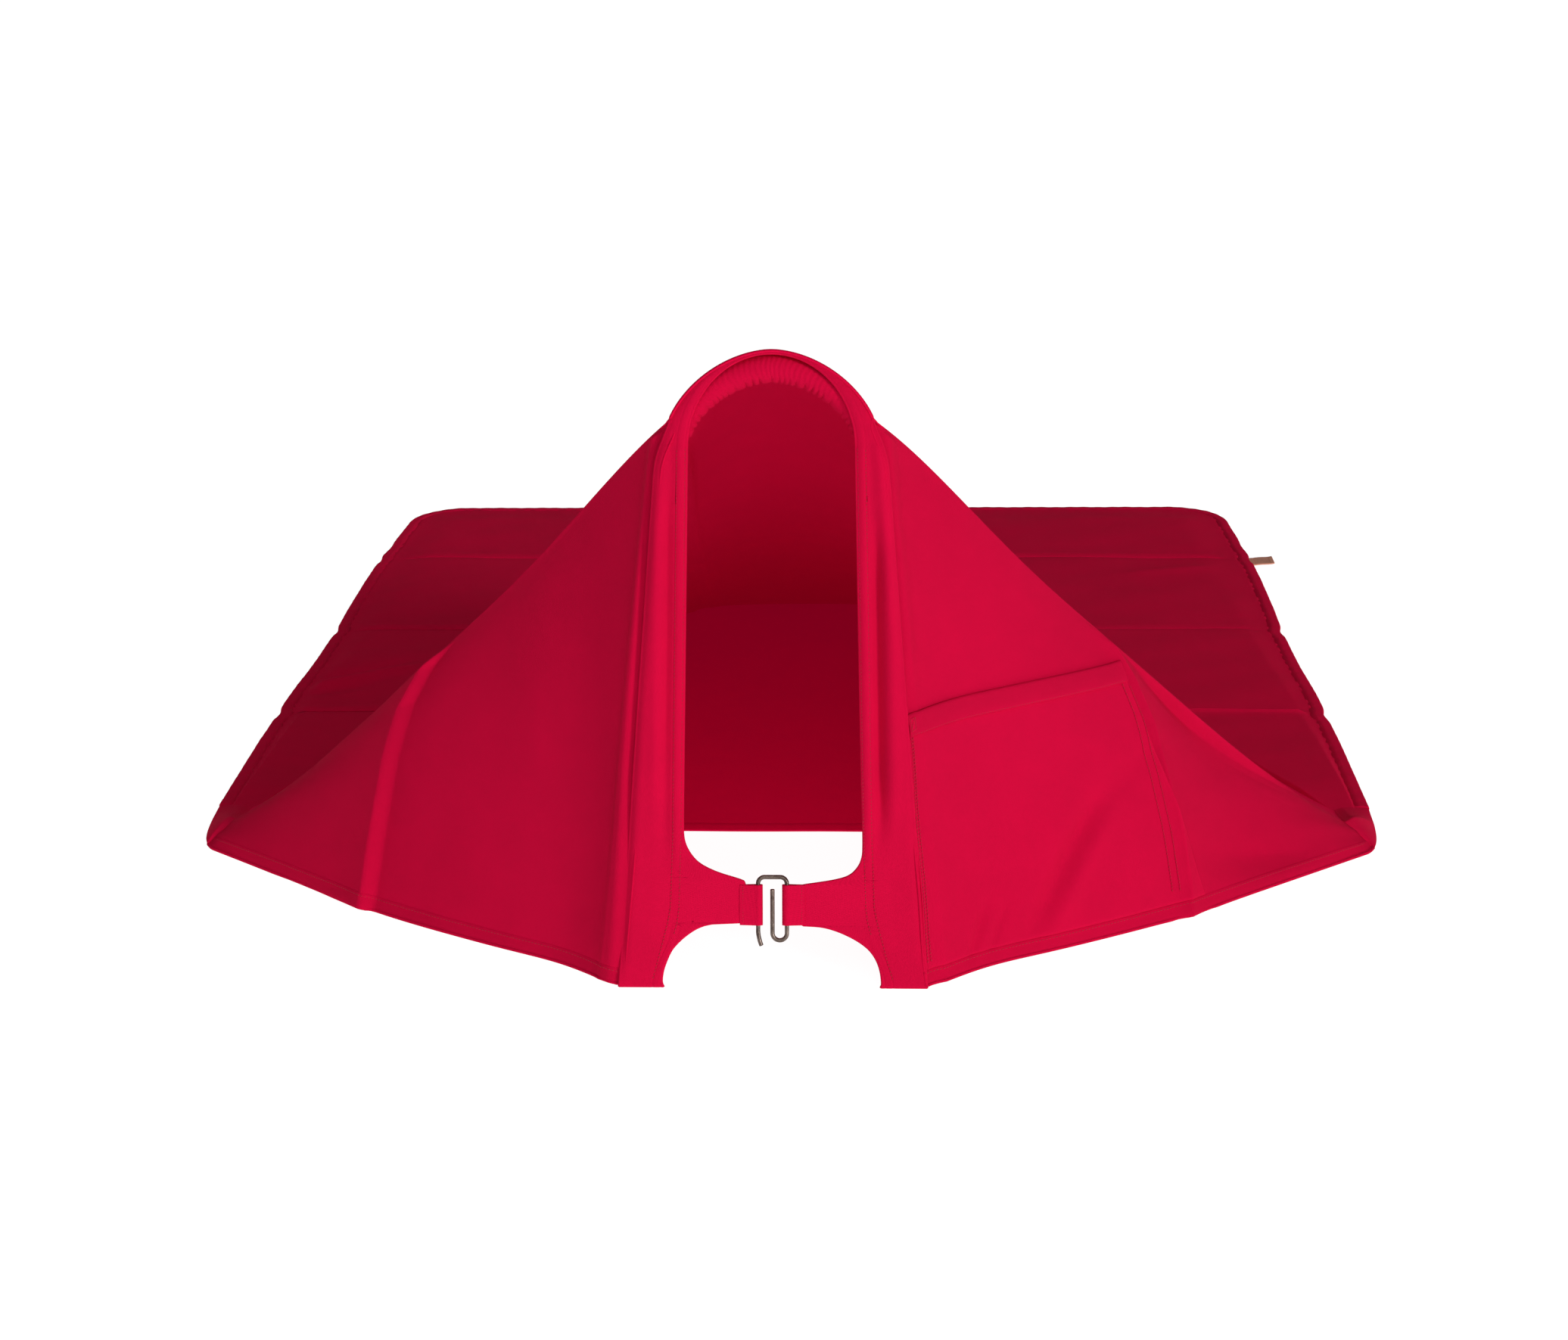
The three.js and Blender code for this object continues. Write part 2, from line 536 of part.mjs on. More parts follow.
const SLIT = 0.35; // half the cover's seam slit, in radians, facing the collar
function coverSection(angle) {
  const radius = rollRadius(angle);
  const outer = range(SLIT, 2 * Math.PI - SLIT, 14).map((t) => rollPoint(angle, t, radius));
  const inner = range(2 * Math.PI - SLIT, SLIT, 14).map((t) => rollPoint(angle, t, radius - COVER_THICK));
  return [...outer, ...inner];
}
const coreRadius = (angle) => rollRadius(angle) - COVER_THICK - GAP - (ELASTIC_THICK + GAP) / 2;
const coreSection = (angle) =>
  range(0, 2 * Math.PI, 12)
    .slice(0, -1)
    .map((t) => rollPoint(angle, t, coreRadius(angle), (ELASTIC_THICK + GAP) / 2));
function elasticSection(angle) {
  const low = -(rollRadius(angle) - COVER_THICK - 2 * GAP);
  const bend = ELASTIC_WIDTH / 2 / Math.abs(low);
  const arc = (radius, from, to) => range(from, to, 4).map((t) => rollPoint(angle, Math.PI + t, radius));
  const inner = Math.abs(low) - ELASTIC_THICK + GAP;
  return [...arc(Math.abs(low), -bend, bend), ...arc(inner, bend, -bend)];
}
const ROLL_END = 0.12; // radians above the spring line
const CORE_END = 0.3;
const rimCover = () => overArch(coverSection, ROLL_END, Math.PI - ROLL_END, 26);
const rimPadding = () => overArch(coreSection, CORE_END, Math.PI - CORE_END, 22);
const rimElastic = () => overArch(elasticSection, CORE_END, Math.PI - CORE_END, 22);

// ---- The lapels with their straps, in the opening's plane. ----

// One side's lapel: a strip along the opening's edge with its strap, whose end is folded round the
// clasp's leg and stitched. rootTop and rootTurn shape the strap's upper root on that side.
function lapel(rootTop, rootTurn) {
  const top = SPRING_RISE + SHOULDER_RISE - GAP;
  const innerAt = (rise) => {
    const over = clamp((rise - SPRING_RISE) / ARCH_RISE, 0, 1);
    return rise > SPRING_RISE ? EDGE_HALF * Math.sqrt(1 - over * over) : edgeHalf(rise);
  };
  const bottom = LAPEL_THICK * Math.tan(LEAN);
  const relief = (rise) => SHOULDER_RELIEF * smoothstep(rise, SPRING_RISE - 2 * FOOT_RISE, top);
  const outer = range(bottom, top, 24).map((rise) => [bandHalf(rise) - relief(rise), rise]);
  const upper = range(top, rootTop, 14).map((rise) => [innerAt(rise), rise]);
  const curve = (from, turn, to) =>
    new THREE.QuadraticBezierCurve(...[from, turn, to].map(([x, y]) => new THREE.Vector2(x, y)))
      .getPoints(8)
      .map((p) => [p.x, p.y]);
  const above = curve([edgeHalf(rootTop), rootTop], [rootTurn, STRAP_TOP + 2], [STRAP_SEAM, STRAP_TOP]);
  const footRise = 33;
  const below = curve([STRAP_SEAM, STRAP_BOTTOM], [70, STRAP_BOTTOM + 2], [edgeHalf(footRise) + 2, footRise]);
  const foot = range(footRise - 5, bottom, 5).map((rise) => [innerAt(rise), rise]);
  const flat = slab(outline([...outer, ...upper.slice(0, -1), ...above, ...below, ...foot]), -LAPEL_THICK, 0);

  const middle = -LAPEL_THICK / 2;
  const round = WIRE_RADIUS + WIRE_PLAY + PLY;
  const section = new THREE.Shape();
  section.moveTo(STRAP_SEAM + 1, middle + LAPEL_THICK / 2);
  section.lineTo(LEG_X + 1, middle + round);
  section.absarc(LEG_X, middle, round, Math.PI / 2, (3 * Math.PI) / 2, false);
  section.lineTo(STRAP_SEAM + 1, middle - LAPEL_THICK / 2);
  section.closePath();
  const bore = new THREE.Path();
  bore.absarc(LEG_X, middle, WIRE_RADIUS + WIRE_PLAY, 0, 2 * Math.PI, true);
  section.holes.push(bore);
  const loop = slab(section, -STRAP_TOP, -STRAP_BOTTOM).rotateX(Math.PI / 2);
  return join(flat, loop);
}

// ---- The wire clasp. ----

class ClaspLine extends THREE.CurvePath {
  constructor() {
    super();
    const z = -LAPEL_THICK / 2;
    const at = (x, y) => new THREE.Vector3(x, y, z);
    const line = (from, to) => this.add(new THREE.LineCurve3(at(...from), at(...to)));
    const bend = (from, turn, to) => {
      const k = 0.5523; // a quarter circle as a cubic
      const a = at(...from);
      const t = at(...turn);
      const b = at(...to);
      this.add(new THREE.CubicBezierCurve3(a, a.clone().lerp(t, k), b.clone().lerp(t, k), b));
    };
    const r = CORNER_RADIUS;
    const hook = LEG_X / 2;
    bend([TIP_X, TIP_BOTTOM], [-LEG_X, TIP_BOTTOM + 7], [-LEG_X, TIP_BEND_START]);
    line([-LEG_X, TIP_BEND_START], [-LEG_X, CLASP_TOP - r]);
    bend([-LEG_X, CLASP_TOP - r], [-LEG_X, CLASP_TOP], [-LEG_X + r, CLASP_TOP]);
    line([-LEG_X + r, CLASP_TOP], [LEG_X - r, CLASP_TOP]);
    bend([LEG_X - r, CLASP_TOP], [LEG_X, CLASP_TOP], [LEG_X, CLASP_TOP - r]);
    line([LEG_X, CLASP_TOP - r], [LEG_X, HOOK_BOTTOM + hook]);
    bend([LEG_X, HOOK_BOTTOM + hook], [LEG_X, HOOK_BOTTOM], [LEG_X - hook, HOOK_BOTTOM]);
    bend([LEG_X - hook, HOOK_BOTTOM], [LEG_X - 2 * hook, HOOK_BOTTOM], [LEG_X - 2 * hook, HOOK_BOTTOM + hook]);
    line([LEG_X - 2 * hook, HOOK_BOTTOM + hook], [LEG_X - 2 * hook, PRONG_TOP]);
  }
}
function clasp() {
  const section = new THREE.Shape();
  section.absarc(0, 0, WIRE_RADIUS, 0, 2 * Math.PI, false);
  return new THREE.ExtrudeGeometry(section, { steps: 80, extrudePath: new ClaspLine(), curveSegments: 5 });
}

// ---- The pocket and the side tab. ----

const pocketShares = panelShares.filter((a) => a >= POCKET_FROM && a <= POCKET_TO);
const upTo = (height) => (a) => height / panelHeight(a);
const pocketPatch = () =>
  onPanel(upTo(HEM_WIDTH + GAP), upTo(POCKET_HEIGHT - POCKET_HEM - GAP), pocketShares, range(0, 1, 6), POCKET_GAP + PLY, -POCKET_GAP);
const pocketHem = () =>
  onPanel(upTo(POCKET_HEIGHT - POCKET_HEM), upTo(POCKET_HEIGHT), pocketShares, [0, 1], POCKET_GAP + PLY + 1, -POCKET_GAP);
function pocketTack() {
  const width = TACK_SIZE / hemLine(0).distanceTo(hemLine(1));
  const shares = [POCKET_FROM + 0.004, POCKET_FROM + 0.004 + width];
  const front = POCKET_GAP + PLY + 1;
  const low = upTo(POCKET_HEIGHT - 4 - TACK_SIZE);
  return onPanel(low, upTo(POCKET_HEIGHT - 4), shares, [0, 1], front + GAP + 1, -front - GAP);
}

function sideTab() {
  const start = HALF + GAP;
  const r = TAB_THICK / 2;
  const profile = new THREE.Shape();
  profile.moveTo(start + r, 0);
  profile.lineTo(HALF + TAB_REACH, 0);
  profile.lineTo(HALF + TAB_REACH, TAB_THICK);
  profile.lineTo(start + r, TAB_THICK);
  profile.absarc(start + r, r, r, Math.PI / 2, (3 * Math.PI) / 2, false);
  return slab(profile, -TAB_WIDTH / 2, TAB_WIDTH / 2).rotateX(Math.PI / 2).translate(0, TAB_AT, 0);
}

// ---- The assembly. ----

piece("lining_sheet", liningSheet(), liningRed);
piece("lining_near_hem", nearHem(), liningRed);
piece("shell_field", shellField(), shellRed);
piece("hood_crown", crown(), shellRed);
piece("hood_collar", collar(), shellRed);
pair("hood_slope", slope(), shellRed);
pair("front_panel", frontPanel(), shellRed);
pair("front_hem", frontHem(), trimRed);
pair("near_corner", nearCorner(), trimRed);
pair("side_hem", sideHem(), trimRed);
piece("far_hem", farHem(), trimRed);
piece("arch_band", archBand(), trimRed, openingPlane);
piece("rim_cover", rimCover(), trimRed, openingPlane);
piece("rim_padding", rimPadding(), paddingGrey, openingPlane);
piece("rim_elastic", rimElastic(), elasticWhite, openingPlane);
piece("lapel_right", lapel(119, 80), trimRed, openingPlane);
piece("lapel_left", mirrored(lapel(137, 74)), trimRed, openingPlane);
piece("clasp", clasp(), steel, openingPlane);
piece("pocket_patch", pocketPatch(), shellRed);
piece("pocket_hem", pocketHem(), trimRed);
piece("pocket_tack", pocketTack(), trimRed);
piece("side_tab", sideTab(), leatherTan);

export default blanket;
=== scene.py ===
"""The looks of the fire blanket: cloth shell with folds, creases and seams, gathered hood rim, wire clasp.

Lengths are metres. The surface formulas measure y from the blanket's near edge, and HOME moves them to
the frame, whose origin is the blanket's middle. Right-hand pieces are made for x > 0 and mirrored.
"""

import json
import math

import bpy
import mathutils
import numpy as np
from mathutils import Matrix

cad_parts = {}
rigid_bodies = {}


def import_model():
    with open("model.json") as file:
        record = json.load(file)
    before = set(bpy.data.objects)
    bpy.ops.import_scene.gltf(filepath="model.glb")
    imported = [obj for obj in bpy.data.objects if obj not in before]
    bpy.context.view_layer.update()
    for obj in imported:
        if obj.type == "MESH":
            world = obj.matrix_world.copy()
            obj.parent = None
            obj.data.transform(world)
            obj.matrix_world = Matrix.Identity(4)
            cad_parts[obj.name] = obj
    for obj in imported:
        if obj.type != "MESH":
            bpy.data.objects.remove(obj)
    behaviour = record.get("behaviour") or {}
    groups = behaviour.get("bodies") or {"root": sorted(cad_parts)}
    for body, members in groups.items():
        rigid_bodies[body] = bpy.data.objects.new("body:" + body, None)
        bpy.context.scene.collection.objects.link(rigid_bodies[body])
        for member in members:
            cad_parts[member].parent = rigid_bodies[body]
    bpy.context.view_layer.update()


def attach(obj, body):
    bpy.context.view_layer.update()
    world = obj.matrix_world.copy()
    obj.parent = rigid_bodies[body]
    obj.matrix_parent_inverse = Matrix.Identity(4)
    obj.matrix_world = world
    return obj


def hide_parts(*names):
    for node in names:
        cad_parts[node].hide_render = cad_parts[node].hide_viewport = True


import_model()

# ---- Sizes and surface formulas ----

LEAN = math.radians(15)  # how far the opening's plane leans back
SIN, COS = math.sin(LEAN), math.cos(LEAN)
HALF = 0.6
REACH = 0.353  # the opening's foot in front of the near edge
EDGE, TAPER, SPRING = 0.075, 0.0164, 0.487
ARCH_RISE, HOOD_HALF, HOOD_RISE, HOOD_POWER = 0.083, 0.097, 0.086, 1.8
SHOULDER_RISE, COLLAR = 0.0275, 0.024
BAND, BAND_TAPER = 0.028, 0.075
FOLD_LEAN = 0.528
CROWN = 0.42
GAP = 0.0003
TOP_Z, FLOOR_Z = 0.0043, 0.0022
FOOT_DEPTH, FOOT_POWER, FOOT_STRAIGHT = 0.795, 1.1, 0.22
FAR = 1.2035
HEM_BOW, BOW_DIP = 0.0275, (0.004, 0.13, 0.09)
RIDGE_BACK, RIDGE_SAG, RIDGE_DIP = 0.032, 0.21, (0.014, 0.27, 0.20)
ROOF_DROP, TAIL_SHARE = -0.25, 0.25
CORNER = np.array([HALF, 0, 0])
UP = np.array([0, 0, 1.0])
FRONT = np.array([0, -COS, SIN])


def lerp(a, b, t):
    """a at t = 0 and b at t = 1, in a straight line."""
    return a + (b - a) * t


def smooth(x, lo=0.0, hi=1.0):
    """0 below lo, 1 above hi, and 3 t^2 - 2 t^3 between them."""
    t = np.clip((x - lo) / (hi - lo), 0, 1)
    return t * t * (3 - 2 * t)


def bell(d, width):
    """exp(-(d / width)^2)."""
    return np.exp(-((d / width) ** 2))


def vec(x, y, z):
    return np.stack(np.broadcast_arrays(x, y, z), axis=-1).astype(float)


def unit(v):
    return v / np.maximum(np.linalg.norm(v, axis=-1, keepdims=True), 1e-12)


def spans(*stops):
    """The values of several linspaces (first, last, count), sorted and each once."""
    return np.unique(np.concatenate([np.linspace(*stop) for stop in stops]))


def run_of(path):
    """Length along a path up to each of its points."""
    return np.concatenate([[0], np.cumsum(np.linalg.norm(np.diff(path, axis=0), axis=1))])


def opening(x, rise, out=0.0):
    """The point of the opening's leaning plane at x and `rise` up along it, moved `out` to its front."""
    x, rise, out = np.broadcast_arrays(x, rise, out)
    return vec(x, -REACH + rise * SIN - out * COS, rise * COS + out * SIN)


def edge_half(rise):
    """The opening's half width: EDGE at SPRING, TAPER times the drop wider below, plus a 17 mm cos^2 flare
    over the lowest 60 mm."""
    flare = np.where(rise < 0.06, 0.017 * np.cos(np.pi / 2 * np.clip(rise / 0.06, 0, 1)) ** 2, 0)
    return EDGE + TAPER * (SPRING - rise) + flare


def arch(half, rise, angle, power=2.0):
    """x and height of a superellipse over SPRING: half * cos^(2 / power) and rise * sin^(2 / power)."""
    across = np.abs(np.cos(angle)) ** (2 / power) * np.sign(np.cos(angle))
    return half * across, SPRING + rise * np.abs(np.sin(angle)) ** (2 / power)


def hood(angle):
    return arch(HOOD_HALF, HOOD_RISE, angle, HOOD_POWER)


SHOULDER_ANGLE = math.asin((SHOULDER_RISE / HOOD_RISE) ** (HOOD_POWER / 2))
SHOULDER_X = float(hood(SHOULDER_ANGLE)[0])
SHOULDER = opening(SHOULDER_X, SPRING + SHOULDER_RISE)


def band_half(rise):
    """The band's outer half width: EDGE + BAND at SPRING, BAND_TAPER times the drop wider below, eased to
    SHOULDER_X over SHOULDER_RISE either side of SPRING."""
    drawn = np.clip((rise - SPRING) / SHOULDER_RISE, -1, 1) / 2 + 0.5
    straight = EDGE + BAND + BAND_TAPER * (SPRING - rise)
    return lerp(straight, SHOULDER_X, drawn * smooth(drawn))


def ridge(q):
    """The fold from the shoulder (q = 0) to the near corner (q = 1): a straight line moved back by
    RIDGE_BACK (1 - q)(1 - (1 - q)^12) and down by RIDGE_SAG q^2 (1 - q) and the bell RIDGE_DIP."""
    left = 1 - q
    depth, at, width = RIDGE_DIP
    down = -RIDGE_SAG * q * q * left - depth * bell(q - at, width)
    return lerp(SHOULDER, CORNER, q[..., None]) + vec(0, RIDGE_BACK * left * (1 - left**12), down)


def ridge_share(a):
    """Where section a of the panel meets the ridge: (1 - FOLD_LEAN) a + FOLD_LEAN a^2."""
    return (1 - FOLD_LEAN) * a + FOLD_LEAN * a * a


FOOT = opening(band_half(0.0) + GAP, 0.0)
PANEL_FRONT = unit(np.cross(CORNER - FOOT, SHOULDER - FOOT))
HEM_OUT = unit(np.cross(CORNER - FOOT, UP))
HEM_LENGTH = float(np.linalg.norm(CORNER - FOOT))


def hem_line(a):
    """The panel's foot from the band (a = 0) to the near corner (a = 1): a straight line bowed out by
    HEM_BOW with soft ends, less the bell BOW_DIP."""
    depth, at, width = BOW_DIP
    bow = HEM_BOW * smooth(a, 0.05, 0.56) * (1 - smooth(a, 0.93, 1.03)) - depth * bell(a - at, width)
    return lerp(FOOT, CORNER, a[..., None]) + HEM_OUT * bow[..., None]


def panel(a, b):
    """The front panel: straight from the hem line (b = 0) to the ridge (b = 1), its first 4 % along the
    band's edge, and standing out by roll * (b - b^4)."""
    q = ridge_share(a)
    p = lerp(hem_line(a), ridge(q), b[..., None])
    near = np.clip(1 - a / 0.04, 0, 1)
    p[..., 0] += near * (band_half(b * (SPRING + SHOULDER_RISE)) + GAP - p[..., 0])
    roll = 0.024 * np.sqrt(1 - q) * (1 - (1 - q) ** 12) * lerp(0.35, 1, smooth(q, 0.15, 0.6))
    return p + PANEL_FRONT * (roll * (b - b**4))[..., None]


def panel_height(a):
    return np.linalg.norm(ridge(ridge_share(a)) - hem_line(a), axis=-1)


def foot_line(c):
    """The roof's foot on the ground, at the share e of HALF: e rises to 0.2 at CROWN and then to 1, and y
    is FOOT_DEPTH (1 - bent^FOOT_POWER), bent rising from 0 at FOOT_STRAIGHT to 1."""
    e = np.where(c < CROWN, 0.2 * c / CROWN, lerp(0.2, 1.0, (c - CROWN) / (1 - CROWN)))
    bent = np.clip((e - FOOT_STRAIGHT) / (1 - FOOT_STRAIGHT), 0, 1)
    return vec(HALF * e, FOOT_DEPTH * (1 - bent**FOOT_POWER), TOP_Z)


def roof(c, v):
    """The roof: section c starts on the hood's edge (|c| < CROWN) or the ridge, runs straight out as a
    collar and then as a cubic curve to the foot line. v is the share of its whole run."""
    side, c = np.sign(c), np.abs(c)
    q = np.clip((c - CROWN) / (1 - CROWN), 0, 1)
    angle = lerp(np.pi / 2, SHOULDER_ANGLE, np.minimum(1, c / CROWN))
    start = np.where((q > 0)[..., None], ridge(q), opening(*hood(angle)))
    end = foot_line(c)
    share = (1 - q) ** 12
    along = end - start
    along[..., 2] = 0
    along = unit(along)
    along[..., 2] = ROOF_DROP
    lead = unit(lerp(-FRONT, unit(along), (1 - share)[..., None]))
    collar = COLLAR * share
    edge = start + lead * collar[..., None]
    chord = np.linalg.norm(end - edge, axis=-1)
    run = v * (collar + chord)
    reach = np.minimum(0.15, chord * (1 - q) / 3 + chord / 8)
    over = vec(edge[..., 0], edge[..., 1], end[..., 2])
    t = np.clip((run - collar) / chord, 0, 1)[..., None]
    curve = cubic(edge, edge + lead * reach[..., None], lerp(end, over, TAIL_SHARE), end, t)
    p = np.where((run < collar)[..., None], start + lead * run[..., None], curve)
    p[..., 0] *= np.where(side == 0, 1, side)
    return p


def cubic(a, b, c, d, t):
    """The cubic Bezier curve with the control points a, b, c and d."""
    return (1 - t) ** 3 * a + 3 * (1 - t) ** 2 * t * b + 3 * (1 - t) * t * t * c + t**3 * d


# ---- Mesh building ----

HOME = np.array([0.0, -HALF, 0.0])
PLY = 0.0018


def grid_faces(rows, cols):
    """Quads of a rows x cols grid of points counted row by row."""
    index = np.arange(rows * cols).reshape(rows, cols)
    return np.stack([index[:-1, :-1], index[1:, :-1], index[1:, 1:], index[:-1, 1:]], -1).reshape(-1, 4)


def vertex_normals(points, faces):
    """Unit sum over the quads round each point of the cross product of their diagonals."""
    a, b, c, d = (points[faces[:, k]] for k in range(4))
    each = np.cross(c - a, d - b)
    total = np.zeros_like(points)
    for k in range(4):
        np.add.at(total, faces[:, k], each)
    return unit(total)


def uv_pairs(u, v):
    """Texture coordinates, one pair per point, from two arrays that broadcast."""
    return np.stack(np.broadcast_arrays(u, v), -1).reshape(-1, 2)


def add_mesh(name, points, groups, uv, edge, material, body="root"):
    """One object from points, arrays of equal-sided polygons, and per point a uv pair in metres and a 0..1
    edge value."""
    groups = groups if isinstance(groups, list) else [groups]
    corners = np.concatenate([g.ravel() for g in groups]).astype(np.int32)
    sizes = np.concatenate([np.full(len(g), g.shape[1]) for g in groups])
    mesh = bpy.data.meshes.new(name)
    mesh.vertices.add(len(points))
    mesh.vertices.foreach_set("co", (points + HOME).ravel())
    mesh.loops.add(len(corners))
    mesh.loops.foreach_set("vertex_index", corners)
    mesh.polygons.add(len(sizes))
    mesh.polygons.foreach_set("loop_start", np.concatenate([[0], np.cumsum(sizes)[:-1]]).astype(np.int32))
    mesh.update(calc_edges=True)
    layer = mesh.uv_layers.new(name="cut")
    layer.uv.foreach_set("vector", uv[corners].ravel())
    worn = mesh.attributes.new("edge", "FLOAT", "POINT")
    worn.data.foreach_set("value", np.broadcast_to(edge, len(points)).astype(np.float32))
    mesh.shade_smooth()
    mesh.materials.append(material)
    obj = bpy.data.objects.new(name, mesh)
    bpy.context.collection.objects.link(obj)
    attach(obj, body)
    return obj


def cloth(name, points, faces, uv, material, over=PLY / 2, under=PLY / 2, edge_fade=0.006, body="root"):
    """A closed sheet: the points moved `over` along their normals make its outer face and `under` against
    them its inner one. The strip between has a middle row that stands out by 0.35 x thickness, so the cut
    edge is round. The edge value is exp(-distance to the outline / edge_fade)."""
    normals = vertex_normals(points, faces)
    count = len(points)
    sides = np.concatenate([faces[:, [k, (k + 1) % 4]] for k in range(4)])
    key = np.sort(sides, axis=1) @ np.array([count, 1])
    _, first, times = np.unique(key, return_index=True, return_counts=True)
    rim = sides[first[times == 1]]
    ids = np.unique(rim)
    away = np.zeros_like(points)
    out = np.cross(points[rim[:, 1]] - points[rim[:, 0]], normals[rim[:, 0]])
    np.add.at(away, rim[:, 0], out)
    np.add.at(away, rim[:, 1], out)
    thick = over + under
    middle = points[ids] + normals[ids] * (over - under) / 2 + unit(away[ids]) * 0.35 * thick
    place = np.full(count, -1)
    place[ids] = np.arange(len(ids)) + 2 * count
    a, b = rim.T
    walls = np.concatenate(
        [np.stack([b, a, place[a], place[b]], 1), np.stack([place[b], place[a], a + count, b + count], 1)]
    )
    all_points = np.concatenate([points + normals * over, points - normals * under, middle])
    all_faces = np.concatenate([faces, faces[:, ::-1] + count, walls])
    worn = np.exp(-nearest(points, points[ids]) / edge_fade)
    all_uv = np.concatenate([uv, uv, uv[ids]])
    all_worn = np.concatenate([worn, worn, worn[ids]])
    return add_mesh(name, all_points, all_faces, all_uv, all_worn, material, body)


def nearest(points, targets):
    """Distance from each point to the nearest of up to 600 evenly chosen targets."""
    chosen = targets[:: max(1, len(targets) // 600)]
    best = np.full(len(points), np.inf)
    for part in np.array_split(np.arange(len(points)), max(1, len(points) // 4000)):
        gap = points[part][:, None, :] - chosen[None, :, :]
        best[part] = np.sqrt((gap**2).sum(-1)).min(1)
    return best


def mesh_grid(surface, us, vs, side=1):
    """Points, faces and (u, v) arrays of surface(u, v), mirrored for side -1 with its faces still outward."""
    u, v = np.meshgrid(us, vs, indexing="ij")
    points = surface(u, v).reshape(-1, 3)
    faces = grid_faces(len(us), len(vs))
    if side < 0:
        points = points * np.array([-1, 1, 1])
        faces = faces[:, ::-1]
    return points, faces, u.ravel(), v.ravel()


def rings(count, around):
    """Outward polygons of `count` rings of `around` points: quads between the rings and two end caps."""
    index = np.arange(count * around).reshape(count, around)
    turned = np.roll(index, -1, axis=1)
    quads = np.stack([index[:-1], turned[:-1], turned[1:], index[1:]], -1).reshape(-1, 4)
    return [quads, np.stack([index[0, ::-1], index[-1]])]


def tube(path, radius, around, up):
    """Rings round a path: radius(k, angle) from its centre, angle 0 towards `up`, turning to its right."""
    tangent = unit(np.gradient(path, axis=0))
    side = unit(np.cross(tangent, np.broadcast_to(up, tangent.shape)))
    other = np.cross(side, tangent)
    angle = np.linspace(0, 2 * np.pi, around, endpoint=False)[None, :]
    size = np.broadcast_to(radius(np.arange(len(path))[:, None], angle), (len(path), around))
    ring = np.cos(angle)[..., None] * other[:, None, :] - np.sin(angle)[..., None] * side[:, None, :]
    points = path[:, None, :] + ring * size[..., None]
    return points.reshape(-1, 3), rings(len(path), around), uv_pairs(run_of(path)[:, None], angle * 0.01)


THREAD_RADIUS = 0.00042


def stitches(name, path, facing, material, pitch=0.0036, body="root"):
    """Thread stitches along a path: each a bowed capsule of four six-sided rings with its ends lower."""
    run = run_of(path)
    at = np.arange(pitch, run[-1] - pitch / 2, pitch)

    def along(values):
        return np.stack([np.interp(at, run, values[:, k]) for k in range(3)], -1)

    centre = along(path)
    ahead = unit(along(np.gradient(path, run, axis=0)))
    up = unit(along(np.broadcast_to(facing, path.shape)))
    side = np.cross(up, ahead)
    up = np.cross(ahead, side)
    step = np.array([-0.36, -0.2, 0.2, 0.36]) * pitch
    size = np.array([0.4, 1, 1, 0.4]) * THREAD_RADIUS
    lift = np.array([-0.00015, 0.0002, 0.0002, -0.00015])
    turn = np.arange(6) * np.pi / 3
    local = vec(
        step[:, None], size[:, None] * np.cos(turn), lift[:, None] + size[:, None] * np.sin(turn) * 0.8
    ).reshape(24, 3)
    points = (centre[:, None, :] + local @ np.stack([ahead, side, up], 1)).reshape(-1, 3)
    shift = 24 * np.arange(len(at))[:, None, None]
    groups = [(g[None] + shift).reshape(-1, g.shape[1]) for g in rings(4, 6)]
    uv = np.zeros((len(points), 2))
    return add_mesh(name, points, groups, uv, 0.0, material, body)


# ---- Materials ----


class Net:
    """A value in a material's node tree: arithmetic makes Math nodes, node() makes any other node."""

    def __init__(self, tree, socket=None):
        self.tree, self.socket = tree, socket

    def node(self, kind, inputs=None, output=0, **settings):
        made = self.tree.nodes.new(kind)
        for key, value in settings.items():
            setattr(made, key, value)
        for key, value in (inputs or {}).items():
            if isinstance(value, Net):
                self.tree.links.new(value.socket, made.inputs[key])
            else:
                made.inputs[key].default_value = value
        return Net(self.tree, made.outputs[output]) if len(made.outputs) else made

    def math(self, operation, *values):
        return self.node("ShaderNodeMath", dict(enumerate(values)), operation=operation)

    def __add__(self, other):
        return self.math("ADD", self, other)

    def __sub__(self, other):
        return self.math("SUBTRACT", self, other)

    def __rsub__(self, other):
        return self.math("SUBTRACT", other, self)

    def __mul__(self, other):
        return self.math("MULTIPLY", self, other)

    __radd__, __rmul__ = __add__, __mul__


def new_material(name, **constants):
    """A material, its shader node with the constant sockets set, and a Net to build on."""
    material = bpy.data.materials.new(name)
    material.use_nodes = True
    tree = material.node_tree
    shader = tree.nodes["Principled BSDF"]
    for key, value in constants.items():
        shader.inputs[key.replace("_", " ")].default_value = value
    return material, shader, Net(tree)


def noise(net, where, scale, detail=2.0):
    inputs = {"Vector": where, "Scale": scale, "Detail": detail, "Roughness": 0.5}
    return net.node("ShaderNodeTexNoise", inputs)


def tinted(net, colour, amount):
    """colour multiplied by a grey amount, as a colour."""
    grey = net.node("ShaderNodeCombineColor", {0: amount, 1: amount, 2: amount})
    settings = {"data_type": "RGBA", "blend_type": "MULTIPLY"}
    return net.node("ShaderNodeMix", {0: 1.0, 6: colour, 7: grey}, output=2, **settings)


def link(net, value, shader, name):
    net.tree.links.new(value.socket, shader.inputs[name])


def add_bump(net, shader, strength, distance, height):
    bump = net.node("ShaderNodeBump", {"Strength": strength, "Distance": distance, "Height": height})
    link(net, bump, shader, "Normal")


